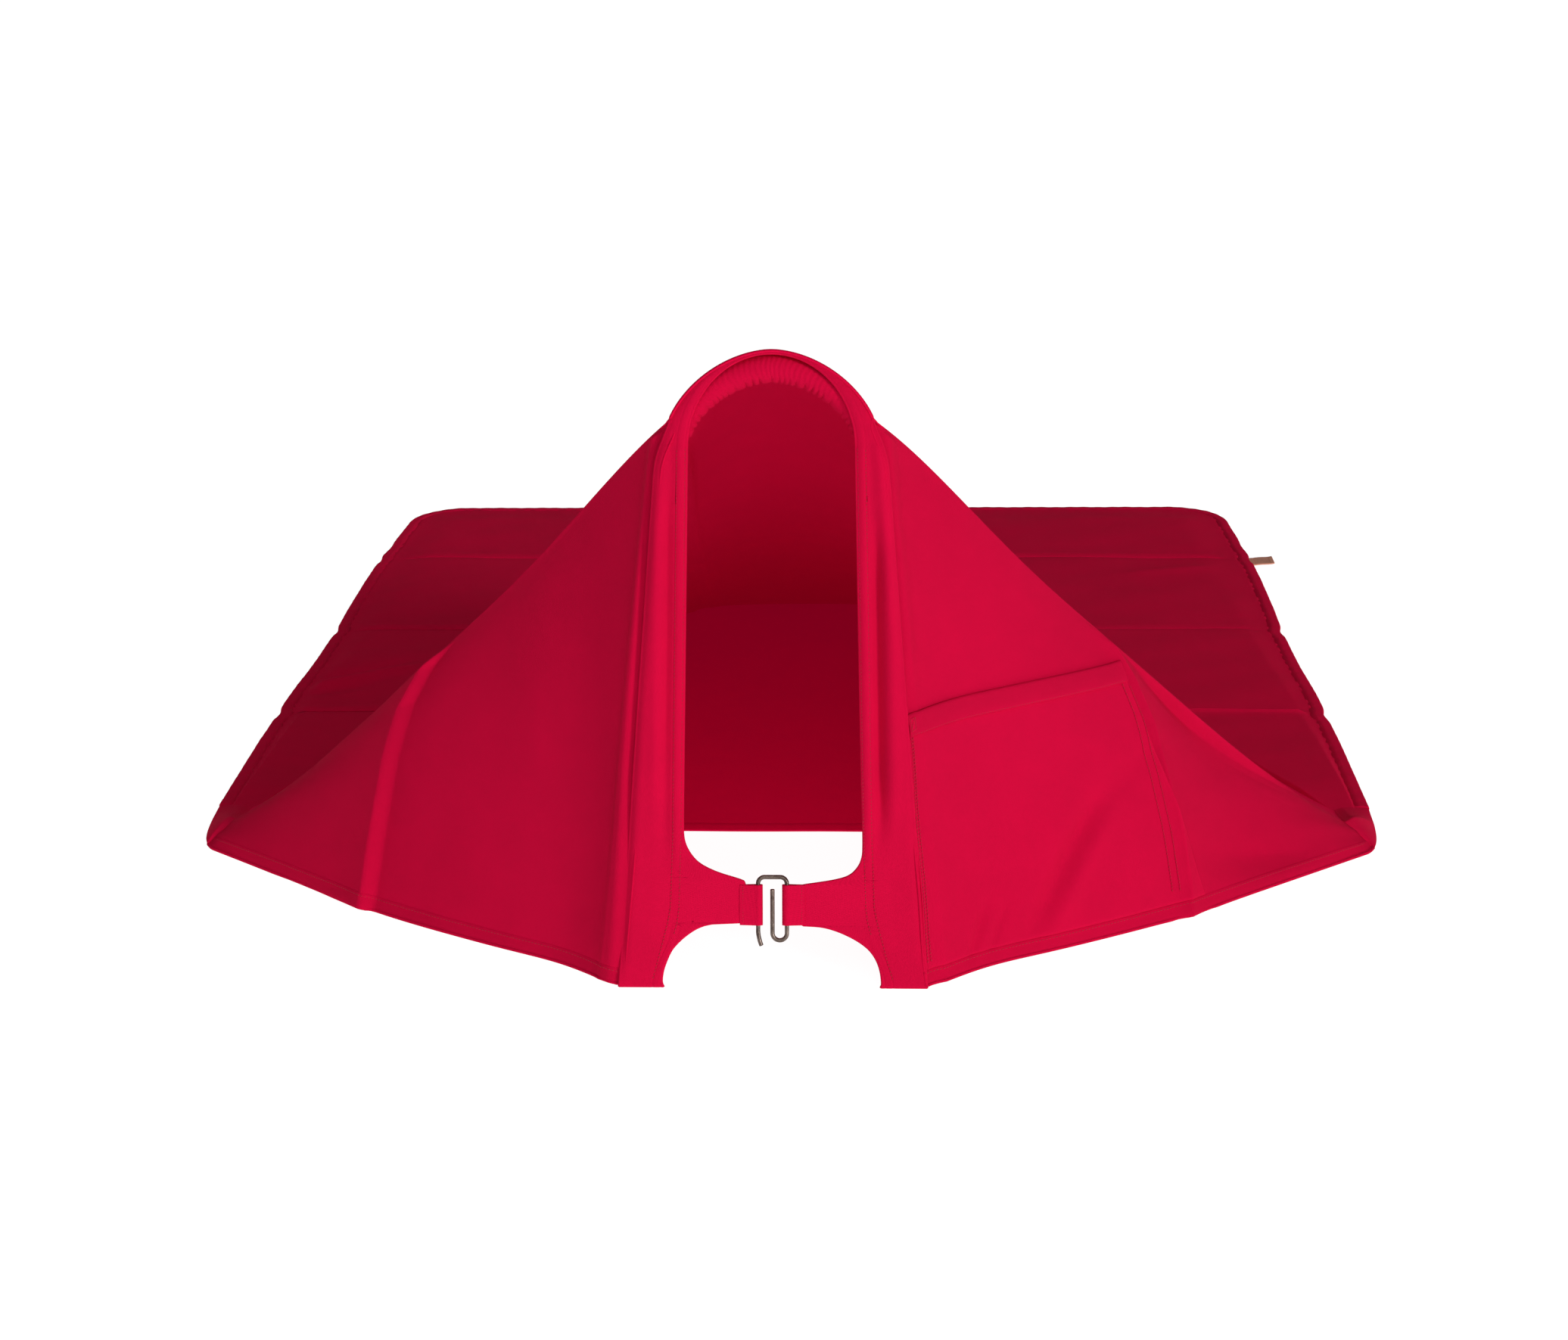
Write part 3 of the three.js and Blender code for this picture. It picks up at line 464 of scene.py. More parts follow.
def woven(name, colour, pitch=0.0011, rough=0.9, painted_glow=0.0):
    """Cloth: diagonal twill ribs crossed by yarns for bump, mottling at four scales, worn paler edges, and an
    even red glow that is painted light on cloth lying in shade.
    """
    material, shader, net = new_material(
        name, Sheen_Weight=0.02, Sheen_Roughness=0.5, Sheen_Tint=(1.0, 0.1, 0.15, 1),
        Specular_IOR_Level=0.03, Emission_Color=(1.0, 0.0, 0.09, 1), Emission_Strength=painted_glow,
    )
    uv = net.node("ShaderNodeTexCoord", output=2)
    place = net.node("ShaderNodeTexCoord", output=3)
    u = uv.node("ShaderNodeSeparateXYZ", {0: uv})
    v = Net(net.tree, u.socket.node.outputs[1])
    turn = 2 * math.pi / pitch
    rib = net.math("SINE", (u + v) * turn)
    yarn = net.math("SINE", (u * 0.5 - v) * (turn * 1.9))
    fibre = noise(net, place, 1400.0, 3.0)
    slub = noise(net, place, 260.0, 2.0)
    patch = noise(net, place, 7.0, 3.0)
    fade = noise(net, place, 38.0, 3.0)
    worn = net.node("ShaderNodeAttribute", output=2, attribute_name="edge")
    height = rib * 0.5 + yarn * 0.3 + fibre * 0.5 + slub * 0.6
    add_bump(net, shader, 0.55, 0.00012 * 3, height)
    amount = 0.8 + rib * 0.035 + fibre * 0.1 + patch * 0.16 + fade * 0.1 + slub * 0.05 + worn * 0.06
    link(net, tinted(net, colour, amount), shader, "Base Color")
    link(net, rough - 0.1 + slub * 0.12 + fade * 0.1, shader, "Roughness")
    return material


def thread(name, colour):
    """Twisted sewing thread: fine noise in colour and roughness on a slightly glossy yarn."""
    material, shader, net = new_material(name, Specular_IOR_Level=0.3)
    place = net.node("ShaderNodeTexCoord", output=3)
    twist = noise(net, place, 2200.0, 2.0)
    link(net, tinted(net, colour, 0.75 + twist * 0.5), shader, "Base Color")
    link(net, 0.5 + twist * 0.3, shader, "Roughness")
    return material


def wire(name):
    """Oxidised steel wire: brown-grey with paler rubbed streaks, fine scratches in roughness and bump."""
    material, shader, net = new_material(name, Metallic=0.9, Coat_Weight=0.15, Coat_Roughness=0.3)
    place = net.node("ShaderNodeTexCoord", output=3)
    cloud = noise(net, place, 90.0, 4.0)
    speck = noise(net, place, 900.0, 3.0)
    ramp = net.node("ShaderNodeValToRGB", {0: cloud * 0.8 + speck * 0.2})
    stops = ramp.socket.node.color_ramp.elements
    stops[0].position, stops[0].color = 0.35, (0.055, 0.034, 0.027, 1)
    stops[1].position, stops[1].color = 0.68, (0.25, 0.19, 0.16, 1)
    link(net, ramp, shader, "Base Color")
    link(net, 0.22 + speck * 0.2 + cloud * 0.1, shader, "Roughness")
    add_bump(net, shader, 0.3, 0.0001, speck)
    return material


def leather(name, colour):
    """Tan leather: pebbled grain from cell edges, darker in the pores, rubbed paler at the edges."""
    material, shader, net = new_material(name, Coat_Weight=0.08, Coat_Roughness=0.4)
    place = net.node("ShaderNodeTexCoord", output=3)
    cell = net.node("ShaderNodeTexVoronoi", {"Vector": place, "Scale": 900.0}, feature="DISTANCE_TO_EDGE")
    patch = noise(net, place, 120.0, 3.0)
    worn = net.node("ShaderNodeAttribute", output=2, attribute_name="edge")
    grain = net.math("MINIMUM", cell * 6.0, 1.0)
    link(net, tinted(net, colour, 0.66 + grain * 0.2 + patch * 0.3 + worn * 0.15), shader, "Base Color")
    link(net, 0.75 - grain * 0.2 + patch * 0.1, shader, "Roughness")
    add_bump(net, shader, 0.5, 0.0002, grain)
    return material


RED = (0.60, 0.0022, 0.040, 1)
shell_cloth = woven("shell_twill", RED)
# The lining's and the hood's red glow is painted light: it brightens the shaded inside of the tent.
lining_cloth = woven("lining_twill", (0.56, 0.001, 0.036, 1), rough=0.92, painted_glow=0.115)
hood_cloth = woven("hood_twill", RED, painted_glow=0.065)
trim_cloth = woven("trim_twill", (0.62, 0.0025, 0.042, 1))
hem_cloth = woven("hem_twill", (0.56, 0.0020, 0.037, 1))
rim_cloth = woven("rim_twill", RED, pitch=0.0009)
red_thread = thread("seam_thread", (0.45, 0.002, 0.028, 1))
wire_steel = wire("clasp_steel")
tab_leather = leather("tan_leather", (0.60, 0.25, 0.165, 1))


# ---- Folds and creases ----

PANEL_END = 0.957
CREASES = (0.345, 0.040, -0.257)  # the press folds' distances behind the blanket's middle


def wobble(x, y, seed):
    """Smooth irregular relief from -1 to 1: five sine waves of 90 to 400 mm in directions set by the seed."""
    total = 0
    for k in range(5):
        angle = 2.4 * k + seed
        wave = 2 * np.pi / (0.09 * 1.45**k)
        total = total + np.sin((x * math.cos(angle) + y * math.sin(angle)) * wave + seed * (k + 1.7)) / 5
    return total


def segment(x, y, start, end):
    """Signed distance from the line start-end, and a 0..1 fade that ends at the segment's two ends."""
    dx, dy = end[0] - start[0], end[1] - start[1]
    length = math.hypot(dx, dy)
    along = ((x - start[0]) * dx + (y - start[1]) * dy) / length
    across = ((x - start[0]) * dy - (y - start[1]) * dx) / length
    return across, smooth(along, -0.01, 0.3 * length) * (1 - smooth(along, 0.7 * length, length + 0.01))


def wrinkles(x, y, folds):
    """Sum over the folds (start, end, depth, width) of depth * bell(distance, width) * fade."""
    total = 0
    for start, end, depth, width in folds:
        across, fade = segment(x, y, start, end)
        total = total + depth * bell(across, width) * fade
    return total


# Each panel's pressed crease, as heights b and the shares a at them.
LEFT_CREASE = ([0, 0.246, 0.554, 0.792, 0.93, 1], [0.536, 0.566, 0.600, 0.620, 0.612, 0.575])
RIGHT_CREASE = (
    [0, 0.103, 0.288, 0.486, 0.692, 0.857, 0.96, 1], [0.510, 0.526, 0.545, 0.561, 0.574, 0.572, 0.555, 0.52],
)
LEFT_WRINKLES = (
    ((0.30, 0.40), (0.245, 0.05), 0.0016, 0.022),
    ((0.13, 0.36), (0.12, 0.04), 0.0012, 0.022),
)
RIGHT_WRINKLES = (
    ((0.205, 0.135), (0.115, 0.012), -0.0048, 0.011),
    ((0.222, 0.128), (0.135, 0.008), 0.0034, 0.012),
    ((0.255, 0.175), (0.150, 0.055), -0.0024, 0.014),
    ((0.075, 0.055), (0.050, 0.006), -0.0026, 0.006),
    ((0.095, 0.050), (0.072, 0.004), -0.0018, 0.005),
)


def panel_relief(a, b, side):
    """Height in front of the plain panel: the pleat beside the band, the crease, wrinkles and slack."""
    s = a * (HEM_LENGTH - 0.24 * b)
    h = b * (0.51 - 0.42 * a)
    crease = LEFT_CREASE if side < 0 else RIGHT_CREASE
    d = (a - np.interp(b, *crease)) * 0.5
    if side < 0:
        pleat = 0.0085 * bell(s - 0.016, 0.0085) * (0.5 + 0.5 * smooth(b, 0.02, 0.45))
        pleat = pleat - 0.0060 * bell(s, 0.006)
        rise = np.where(d < 0, smooth(d, -0.013, 0.001), np.exp(-np.maximum(d, 0) / 0.055))
        fold = 0.0105 * rise * (0.75 + 0.25 * (1 - b))
        wrinkle = wrinkles(s, h, LEFT_WRINKLES)
    else:
        upper = smooth(b, 0.42, 0.62)
        pleat = -0.0048 * bell(s - 0.003, 0.005) * (0.15 + 0.85 * upper)
        pleat = pleat + 0.0032 * bell(s - 0.016, 0.008) * upper
        rise = np.where(d < 0, np.exp(d / 0.010), np.exp(-np.maximum(d, 0) / 0.016))
        behind = smooth(d, 0, 0.08) * (1 - smooth(d, 0.08, 0.17))
        fold = 0.0086 * rise - 0.013 * behind * smooth(b, 0.02, 0.2)
        wrinkle = wrinkles(s, h, RIGHT_WRINKLES)
    slack = 0.0016 * wobble(s, h, 1.3 + side)
    soft = pleat + fold * smooth(1 - b, 0, 0.06) + (wrinkle + slack) * smooth(b, 0, 0.05)
    return smooth(1 - b, 0, 0.02) * soft


def normal_of(surface, u, v, e, low):
    """Unit cross product of the surface's differences over u -+ e, kept in low..1, and v -+ e, in 0..1."""
    du = surface(np.clip(u + e, low, 1), v) - surface(np.clip(u - e, low, 1), v)
    dv = surface(u, np.clip(v + e, 0, 1)) - surface(u, np.clip(v - e, 0, 1))
    return unit(np.cross(du, dv))


def on_panel(a, b, side, lift=0.0):
    """panel(a, b) moved along its normal by its relief + lift, and never under FLOOR_Z."""
    p = panel(a, b) + normal_of(panel, a, b, 0.004, 0) * (panel_relief(a, b, side) + lift)[..., None]
    p[..., 2] = np.maximum(p[..., 2], FLOOR_Z)
    return p


def roof_relief(c, v, p):
    """Height over the plain roof: the two nearer press folds, soft folds running down from the shoulders,
    a hollow in the flanks and slack."""
    total = 0
    for y in CREASES[1:]:
        d = p[..., 1] - HALF - y
        total = total - 0.0030 * np.exp(-np.abs(d) / 0.0045) + 0.0022 * np.exp(-np.abs(d + 0.012) / 0.012)
    flank = smooth(np.abs(c), 0.36, 0.5) * (1 - smooth(np.abs(c), 0.88, 0.95))
    rays = np.sin(np.abs(c) * 38 + 1.6 * np.sin(v * 3 + np.sign(c))) * 0.003 * smooth(v, 0.2, 0.5) * flank
    taut = -0.011 * flank * bell(v - 0.22, 0.16)
    back = (1 - smooth(v, 0.86, 1)) * smooth(v, 0.03, 0.12)
    outside = 0.3 + 0.7 * flank
    return back * (total * outside + rays + taut + 0.002 * outside * wobble(p[..., 0], p[..., 1], 4.1))


def on_roof(c, v):
    """roof(c, v) moved along its normal by its relief."""
    p = roof(c, v)
    return p + normal_of(roof, c, v, 0.003, -1) * roof_relief(c, v, p)[..., None]


def notch(y):
    """How far the blanket's side edges draw in at y: 3.5 mm bells at the press folds over a slow change."""
    d = np.min([np.abs(y - HALF - line) for line in CREASES], axis=0)
    wide = lerp(-0.0055, 0.003, smooth(y - HALF, -0.26, -0.04))
    wide = wide + 0.007 * smooth(y - HALF, 0.345, 0.42) + 0.005 * smooth(y - HALF, 0.42, 0.54)
    return wide + 0.0035 * bell(d, 0.016) - 0.0010 * smooth(d, 0.03, 0.1)


WING_WRINKLES = (
    ((-0.60, 0.41), (-0.45, 0.50), 0.0060, 0.012),
    ((-0.59, 0.44), (-0.47, 0.52), -0.0045, 0.012),
    ((-0.59, 0.39), (-0.50, 0.44), -0.0035, 0.012),
    ((0.40, 0.86), (0.55, 0.90), 0.0020, 0.012),
)


def wing_height(x, y):
    """Relief of the cloth lying on the ground: ridges and valleys at the press folds, slack, wrinkles."""
    total = 0.0016 * (1 + wobble(x, y, 2.0))
    depths = ((-0.0022, -0.0024), (-0.0030, -0.0012), (-0.0026, 0.0040))
    for line, (left, right) in zip(CREASES, depths):
        d = y - HALF - line
        depth = np.where(x < 0, left, right)
        total = total + depth * np.exp(-np.abs(d) / 0.0045) + 0.0011 * (1 - bell(d, 0.06))
        total = total - 0.35 * depth * np.exp(-np.abs(d - 0.012) / 0.008)
    return total + wrinkles(x, y, WING_WRINKLES)


# ---- The blanket on the ground ----

HEM, CORNER_R = 0.015, 0.078


def outline_x(y, inset):
    """Half width at y of the blanket drawn in by `inset`: straight, then a quarter circle at the corner."""
    far = FAR - inset
    radius = CORNER_R - inset
    over = np.clip(y - (far - radius), 0, radius)
    return HALF - inset - radius + np.sqrt(np.maximum(radius**2 - over**2, 0)) - notch(y)


def foot_x(y):
    """The tent's half width on the ground at y: foot_line turned round, 0 behind FOOT_DEPTH."""
    bent = np.maximum(1 - y / FOOT_DEPTH, 0) ** (1 / FOOT_POWER)
    return HALF * np.where(y < FOOT_DEPTH, lerp(FOOT_STRAIGHT, 1, bent), 0)


def laid(name, points, faces, material):
    """A cloth lying on the ground, its uv its own x and y."""
    return cloth(name, points, faces, points[:, :2].copy(), material, 0.001, 0.0009)


def lining_point(s, y):
    """The lining at the share s of its half width: 1 mm up, with up to 2.4 mm of slack inside the tent."""
    x = s * outline_x(y, HEM)
    rise = 0.0012 * (1 + wobble(x, y, 3.3)) * smooth(HALF - np.abs(x), 0.02, 0.1) * smooth(y, 0.02, 0.1)
    rise = rise * (1 - smooth(np.hypot(x / HALF, y / FOOT_DEPTH), 0.8, 0.95))
    return vec(x, y, 0.001 + rise)


FAR_ROWS = (1.0845, FAR - HEM - 0.0002)
near_rows = spans((HEM + 0.006, 1.08, 176), (*FAR_ROWS, 32))
points, faces, s, y = mesh_grid(lining_point, np.linspace(-1, 1, 210), near_rows)
lining = laid("lining_sheet_soft", points, faces, lining_cloth)
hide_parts("lining_sheet")


def field_point(s, y):
    """The outer cloth from 4 mm inside the tent's foot (s = 0) to the hem (s = 1), 3.3 mm up."""
    low = np.maximum(foot_x(y) - 0.004, 0) * smooth(FOOT_DEPTH + 0.012 - y, 0, 0.012)
    return vec(lerp(low, outline_x(y, HEM), s), y, 0.0033)


def field_half(side):
    """One half of the outer cloth: wing_height fades out at the tent's foot, the hem and both ends."""
    folds = [(line + HALF - 0.02, line + HALF + 0.02, 15) for line in CREASES]
    rows = spans((0.052, 1.08, 146), (*FAR_ROWS, 30), *folds)
    points, faces, s, y = mesh_grid(field_point, np.linspace(0, 1, 118), rows, side)
    open_cloth = lerp(smooth(s, 0, 0.06), 1, smooth(y, FOOT_DEPTH, FOOT_DEPTH + 0.06))
    open_cloth = open_cloth * (1 - smooth(s, 0.90, 1)) * smooth(y, 0.05, 0.11) * (1 - smooth(y, 1.12, 1.18))
    points[:, 2] += wing_height(points[:, 0], points[:, 1]) * open_cloth
    at_middle = (np.abs(points[:, 0]) < 1e-6) & (points[:, 1] > FOOT_DEPTH)
    points[at_middle, 0] = 0
    return points, faces


def welded(parts):
    """Several meshes as one, points closer than 0.01 mm made one."""
    points = np.concatenate([p for p, _ in parts])
    shift = np.cumsum([0] + [len(p) for p, _ in parts[:-1]])
    faces = np.concatenate([f + k for (_, f), k in zip(parts, shift)])
    _, first, back = np.unique(np.round(points, 5), axis=0, return_index=True, return_inverse=True)
    return points[first], back.ravel()[faces]


points, faces = welded([field_half(-1), field_half(1)])
field = laid("shell_field_soft", points, faces, shell_cloth)
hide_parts("shell_field")


def hem_path():
    """The blanket's edge from the near right corner round the far side to the near left one."""
    ys = np.linspace(0.068, FAR - CORNER_R, 420)
    right = vec(HALF - notch(ys), ys, 0)
    turn = np.linspace(0, np.pi / 2, 30)[1:]
    corner = vec(HALF - CORNER_R + CORNER_R * np.cos(turn), FAR - CORNER_R + CORNER_R * np.sin(turn), 0)
    corner[:, 0] -= notch(corner[:, 1])
    xs = np.linspace(corner[-1, 0], 0, 110)[1:]
    half = np.concatenate([right, corner, vec(xs, FAR, 0)])
    return np.concatenate([half, half[:-1][::-1] * np.array([-1, 1, 1])])


def hem_strip(name, path, inward, material, thick=0.0040):
    """A folded hem: a section of the hem's width x thick, round on its outer side, carried along the path
    on the ground."""
    turn = np.linspace(-np.pi / 2, np.pi / 2, 9)
    width, r = HEM + 0.0015, thick / 2
    across = np.concatenate([r - r * np.cos(turn), [width * 0.5, width, width, width * 0.5]])
    up = np.concatenate([r + r * np.sin(turn), [thick + 0.0002, thick + 0.0004, 0.0006, 0.0]])
    count = len(across)
    run = run_of(path)
    ripple = 1 + 0.05 * np.sin(run * 310) + 0.04 * np.sin(run * 97)
    points = path[:, None, :] + inward[:, None, :] * across[None, :, None]
    points[..., 2] = up[None, :] * ripple[:, None]
    worn = np.exp(-np.tile(across, len(path)) / 0.003)
    groups = rings(len(path), count)
    if inward[0] @ np.cross(UP, path[1] - path[0]) > 0:
        groups = [g[:, ::-1] for g in groups]
    uv = uv_pairs(run[:, None], across[None, :])
    return add_mesh(name, points.reshape(-1, 3), groups, uv, worn, material)


path = hem_path()
inward = unit(np.cross(UP, np.gradient(path, axis=0)))
edge_hem = hem_strip("edge_hem_soft", path, inward, trim_cloth)
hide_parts("side_hem_left", "side_hem_right", "far_hem")
seam = path + inward * 0.0125 + UP * 0.0036
hem_stitch = stitches("edge_hem_stitches", seam, UP, red_thread)

near = vec(np.linspace(0.566, -0.566, 400), 0, 0)
near[:, 1] = 0.006 + 0.0004 * np.sin(near[:, 0] * 40)
near_in = np.broadcast_to(np.array([0, 1.0, 0]), near.shape)
near_hem = hem_strip("lining_near_hem_soft", near, near_in, lining_cloth, 0.0026)
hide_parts("lining_near_hem")
seam = near + np.array([0, 0.0125, 0.0022])
near_stitch = stitches("near_hem_stitches", seam, UP, red_thread)

# ---- The tent ----

roof_end = CROWN + (1 - CROWN) * float(ridge_share(np.array(PANEL_END)))
cs = spans((-roof_end, -CROWN, 90), (-CROWN, CROWN, 110), (CROWN, roof_end, 90))
vs = spans((0, 0.1, 22), (0.1, 1, 142))
points, faces, c, v = mesh_grid(on_roof, cs, vs)
tent = cloth("hood_roof_soft", points, faces, points[:, :2] * np.array([1, 1.2]), hood_cloth, 0, PLY)
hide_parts("hood_crown", "hood_collar", "hood_slope_left", "hood_slope_right")

SIDES = {"left": -1, "right": 1}
panel_rows = spans((0, 0.07, 36), (0.07, 0.5, 90), (0.5, 0.68, 76), (0.68, PANEL_END, 34))
panel_steps = spans((0.028, 0.97, 150), (0.97, 0.999, 14))
for word, side in SIDES.items():
    mirror = np.array([side, 1, 1])
    points, faces, a, b = mesh_grid(lambda a, b: on_panel(a, b, side), panel_rows, panel_steps, side)
    uv = np.stack([a * HEM_LENGTH * side, b * 0.5], -1)
    front = cloth(f"front_panel_{word}_soft", points, faces, uv, shell_cloth, 0, PLY)
    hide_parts(f"front_panel_{word}")

    def hem_point(a, t):
        """The panel's lowest HEM of height, at most 0.3 of it."""
        return on_panel(a, t * np.minimum(HEM / panel_height(a), 0.3), side, 0.0001)

    hem_steps = np.linspace(0.0004, 1, 9)
    points, faces, a, b = mesh_grid(hem_point, np.linspace(0, PANEL_END, 260), hem_steps, side)
    uv = np.stack([a * HEM_LENGTH * side, b * HEM], -1)
    hem = cloth(f"front_hem_{word}_soft", points, faces, uv, hem_cloth, 0.0003, 0.0024, 0.003)
    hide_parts(f"front_hem_{word}")
    line = np.linspace(0.004, PANEL_END - 0.01, 500)
    path = on_panel(line, 0.0125 / panel_height(line), side, 0.0003) * mirror
    stitches(f"front_hem_{word}_stitches", path, PANEL_FRONT * mirror, red_thread)


def corner_outline():
    """The near corner's edge: from the hem line's end along a rounded corner to the edge hem's start."""
    way = np.linspace(0, 1, 60)[:, None]
    first = hem_line(np.array([PANEL_END]))[0]
    tip = np.array([HALF + 0.001, -0.016, 0.0])
    edge_out = np.array([HALF + 0.0035, 0.030, 0.0])
    curve = (1 - way) ** 2 * lerp(first, tip, 0.12) + 2 * ((1 - way) * way) * tip + way**2 * edge_out
    return np.concatenate([[first], curve, [[HALF + 0.0052, 0.0705, 0.0]]])


def corner_point(s, t, side):
    """Straight from the tent's end section (t = 0) to the corner's outline (t = 1). The height falls as
    (1 - t)^1.3 under a swell of 4 mm, and the right corner has a 3 mm ridge at s = 0.55."""
    up = panel(np.full_like(s, PANEL_END), np.clip(2 * s, 0, 1))
    over = roof(np.full_like(s, roof_end), np.clip(2 * s - 1, 0, 1))
    start = np.where((s < 0.5)[..., None], up, over)
    outline = corner_outline()
    run = run_of(outline)
    target = np.stack([np.interp(s * run[-1], run, outline[:, k]) for k in range(3)], -1)
    p = lerp(start, target, t[..., None])
    swell = np.sin(np.pi * np.clip(t, 0, 1))
    p[..., 2] = start[..., 2] * (1 - t) ** 1.3 + 0.0024 * smooth(t, 0, 0.3)
    p[..., 2] += 0.004 * swell * np.sin(np.pi * s)
    if side > 0:
        p[..., 2] += 0.003 * bell(s - 0.55, 0.10) * swell**0.8
    p[..., 2] = np.maximum(p[..., 2], 0.0024)
    return p


for word, side in SIDES.items():
    points, faces, s, t = mesh_grid(
        lambda s, t: corner_point(s, t, side), np.linspace(0, 1, 140), np.linspace(0, 1, 60), side
    )
    uv = np.stack([s * 0.07, t * 0.03], -1)
    corner = cloth(
        f"near_corner_{word}_soft", points, faces[:, ::-1], uv, trim_cloth, 0.0008, 0.0014, 0.004
    )
    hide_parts(f"near_corner_{word}")

# ---- The band round the face opening, with its straps ----

LEG_X, STRAP_LOW, STRAP_HIGH = 0.013, 0.057, 0.0945


def rounded(pairs, times=3):
    """A polyline with its corners cut `times` over, as (rise, x) columns."""
    p = np.array(pairs, float)
    for _ in range(times):
        cut = np.concatenate([lerp(p[:-1], p[1:], 0.25)[:, None], lerp(p[:-1], p[1:], 0.75)[:, None]], 1)
        p = np.concatenate([p[:1], cut.reshape(-1, 2), p[-1:]])
    return p


# The band's inner edge up each side, as (rise, x). It runs in along the strap to x = 0.024 and back.
LEFT_ROOT = (
    (0, 0.0985), (0.0035, 0.1006), (0.010, 0.1004), (0.017, 0.099), (0.030, 0.094), (0.0371, 0.0897),
    (0.0471, 0.0797), (0.0558, 0.0665), (0.0590, 0.053), (0.0594, 0.040), (0.0588, 0.024),
    (0.0960, 0.024), (0.0984, 0.0286), (0.1041, 0.0483), (0.1097, 0.0611), (0.1157, 0.0697),
    (0.1257, 0.0769), (0.1357, 0.0804), (0.15, 0.0806), (0.20, 0.0797), (SPRING, EDGE),
)
RIGHT_ROOT = (
    (0, 0.0972), (0.003, 0.0993), (0.0190, 0.0972), (0.0335, 0.0900), (0.0435, 0.0775), (0.0515, 0.0612),
    (0.0560, 0.0465), (0.0570, 0.034), (0.0570, 0.024), (0.0932, 0.024), (0.0945, 0.0335),
    (0.0974, 0.0531), (0.1003, 0.0652), (0.1035, 0.0715), (0.1085, 0.0765), (0.1155, 0.0806),
    (0.127, 0.0825), (0.20, 0.0802), (SPRING, EDGE),
)


def inner_x(rise, side):
    shape = rounded(LEFT_ROOT if side < 0 else RIGHT_ROOT)
    return np.interp(rise, shape[:, 0], shape[:, 1])


def band_relief(from_edge, to_outer, rise, side):
    """Out of the opening's plane: a rounded rim along the opening, a soft valley and ridge beside it, a
    bank towards the outside, the groove of the outer seam and the two sunk stitch lines."""
    rim = 0.0032 * bell(from_edge - 0.006, 0.0055) * smooth(rise, 0.09, 0.16)
    if side > 0:
        long = smooth(rise, 0.12, 0.2) * (1 - smooth(rise, 0.36, 0.45))
        valley = 0.0022 * bell(from_edge - 0.030, 0.006) - 0.0062 * bell(from_edge - 0.0175, 0.0055)
        depth = lerp(0.0012, 0.0048, smooth(rise, 0.26, 0.36))
    else:
        long = smooth(rise, 0.10, 0.25) * (1 - smooth(rise, 0.40, 0.47))
        valley = 0.0016 * bell(from_edge - 0.026, 0.006) - 0.0022 * bell(from_edge - 0.017, 0.004)
        depth = 0.0048
    groove = -depth * bell(to_outer, 0.0045) * smooth(rise, 0.0, 0.05)
    bank = 0.0050 * smooth(from_edge, 0.004, 0.028) * smooth(rise, 0.10, 0.20)
    stitched = -0.0004 * (bell(from_edge - 0.0018, 0.0008) + bell(from_edge - 0.009, 0.0009))
    return rim + valley * long + groove + bank + stitched


BACK = 0.0015  # the band's middle plane behind the opening's
rises = spans((0.0005, SPRING, 190), (0.050, 0.0585, 20), (0.093, 0.106, 26))
across = spans((0, 0.3, 22), (0.3, 0.86, 18), (0.86, 1, 12))


def side_band(rise, t, side):
    """One side of the band from inner_x (t = 0) past the middle of its wide part (t = 0.5) to band_half."""
    low, high = inner_x(rise, side), band_half(rise)
    middle = lerp(np.maximum(low, edge_half(rise)), high, 0.5)
    x = np.where(t < 0.5, lerp(low, middle, t * 2), lerp(middle, high, t * 2 - 1))
    out = band_relief(x - edge_half(rise), high - x, rise, side)
    return opening(x * side, rise, out - BACK)


angles = np.linspace(0, np.pi, 121)[1:-1]


def arch_strip(angle, t):
    """The band over the arch: straight from the inner arch (t = 0) to the hood's edge (t = 1), its relief
    fading where the strip is narrower than the band."""
    turned = np.where(angle > np.pi / 2, np.pi - angle, angle)
    sign = np.where(angle > np.pi / 2, -1, 1)
    ix, irise = arch(EDGE, ARCH_RISE, turned)
    ox, orise = hood(turned)
    ox = np.where(orise < SPRING + SHOULDER_RISE, band_half(orise), ox)
    x, rise = lerp(ix, ox, t), lerp(irise, orise, t)
    wide = np.hypot(ox - ix, orise - irise)
    share = np.clip(wide / BAND, 0, 1)
    out = share * band_relief(t * wide, (1 - t) * wide, SPRING, -1) * (0.4 + 0.6 * share)
    return opening(x * sign, rise, out - BACK)


right_rows = side_band(*np.meshgrid(rises, across, indexing="ij"), 1)
arch_rows = arch_strip(*np.meshgrid(angles, across, indexing="ij"))
left_rows = side_band(*np.meshgrid(rises[::-1], across, indexing="ij"), -1)
band_points = np.concatenate([right_rows, arch_rows, left_rows])
band_faces = grid_faces(len(band_points), len(across))[:, ::-1]
uv = uv_pairs(run_of(band_points[:, -8])[:, None], across[None, :] * 0.03)
band = cloth(
    "opening_band_soft", band_points.reshape(-1, 3), band_faces, uv, trim_cloth, 0.0015, 0.0015, 0.003
)
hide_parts("lapel_left", "lapel_right", "arch_band")

INNER_LINE = ([0.047, 0.060, 0.073, 0.139, SPRING], [0.0895, 0.086, 0.0843, 0.0823, 0.0767])
OUTER_LINE = (
    [0.006, 0.010, 0.027, 0.060, 0.073, 0.139, SPRING], [0.109, 0.108, 0.103, 0.0945, 0.092, 0.0895, 0.0840],
)
for word, side in SIDES.items():
    for number, (ats, xs) in enumerate((INNER_LINE, OUTER_LINE)):
        r = np.linspace(ats[0], SPRING, 500)
        x = np.interp(r, ats, xs)
        path = opening(x * side, r, band_relief(x - edge_half(r), band_half(r) - x, r, side) + 0.0002)
        stitches(f"band_{word}_stitches_{number}", path, FRONT, red_thread, pitch=0.0032)


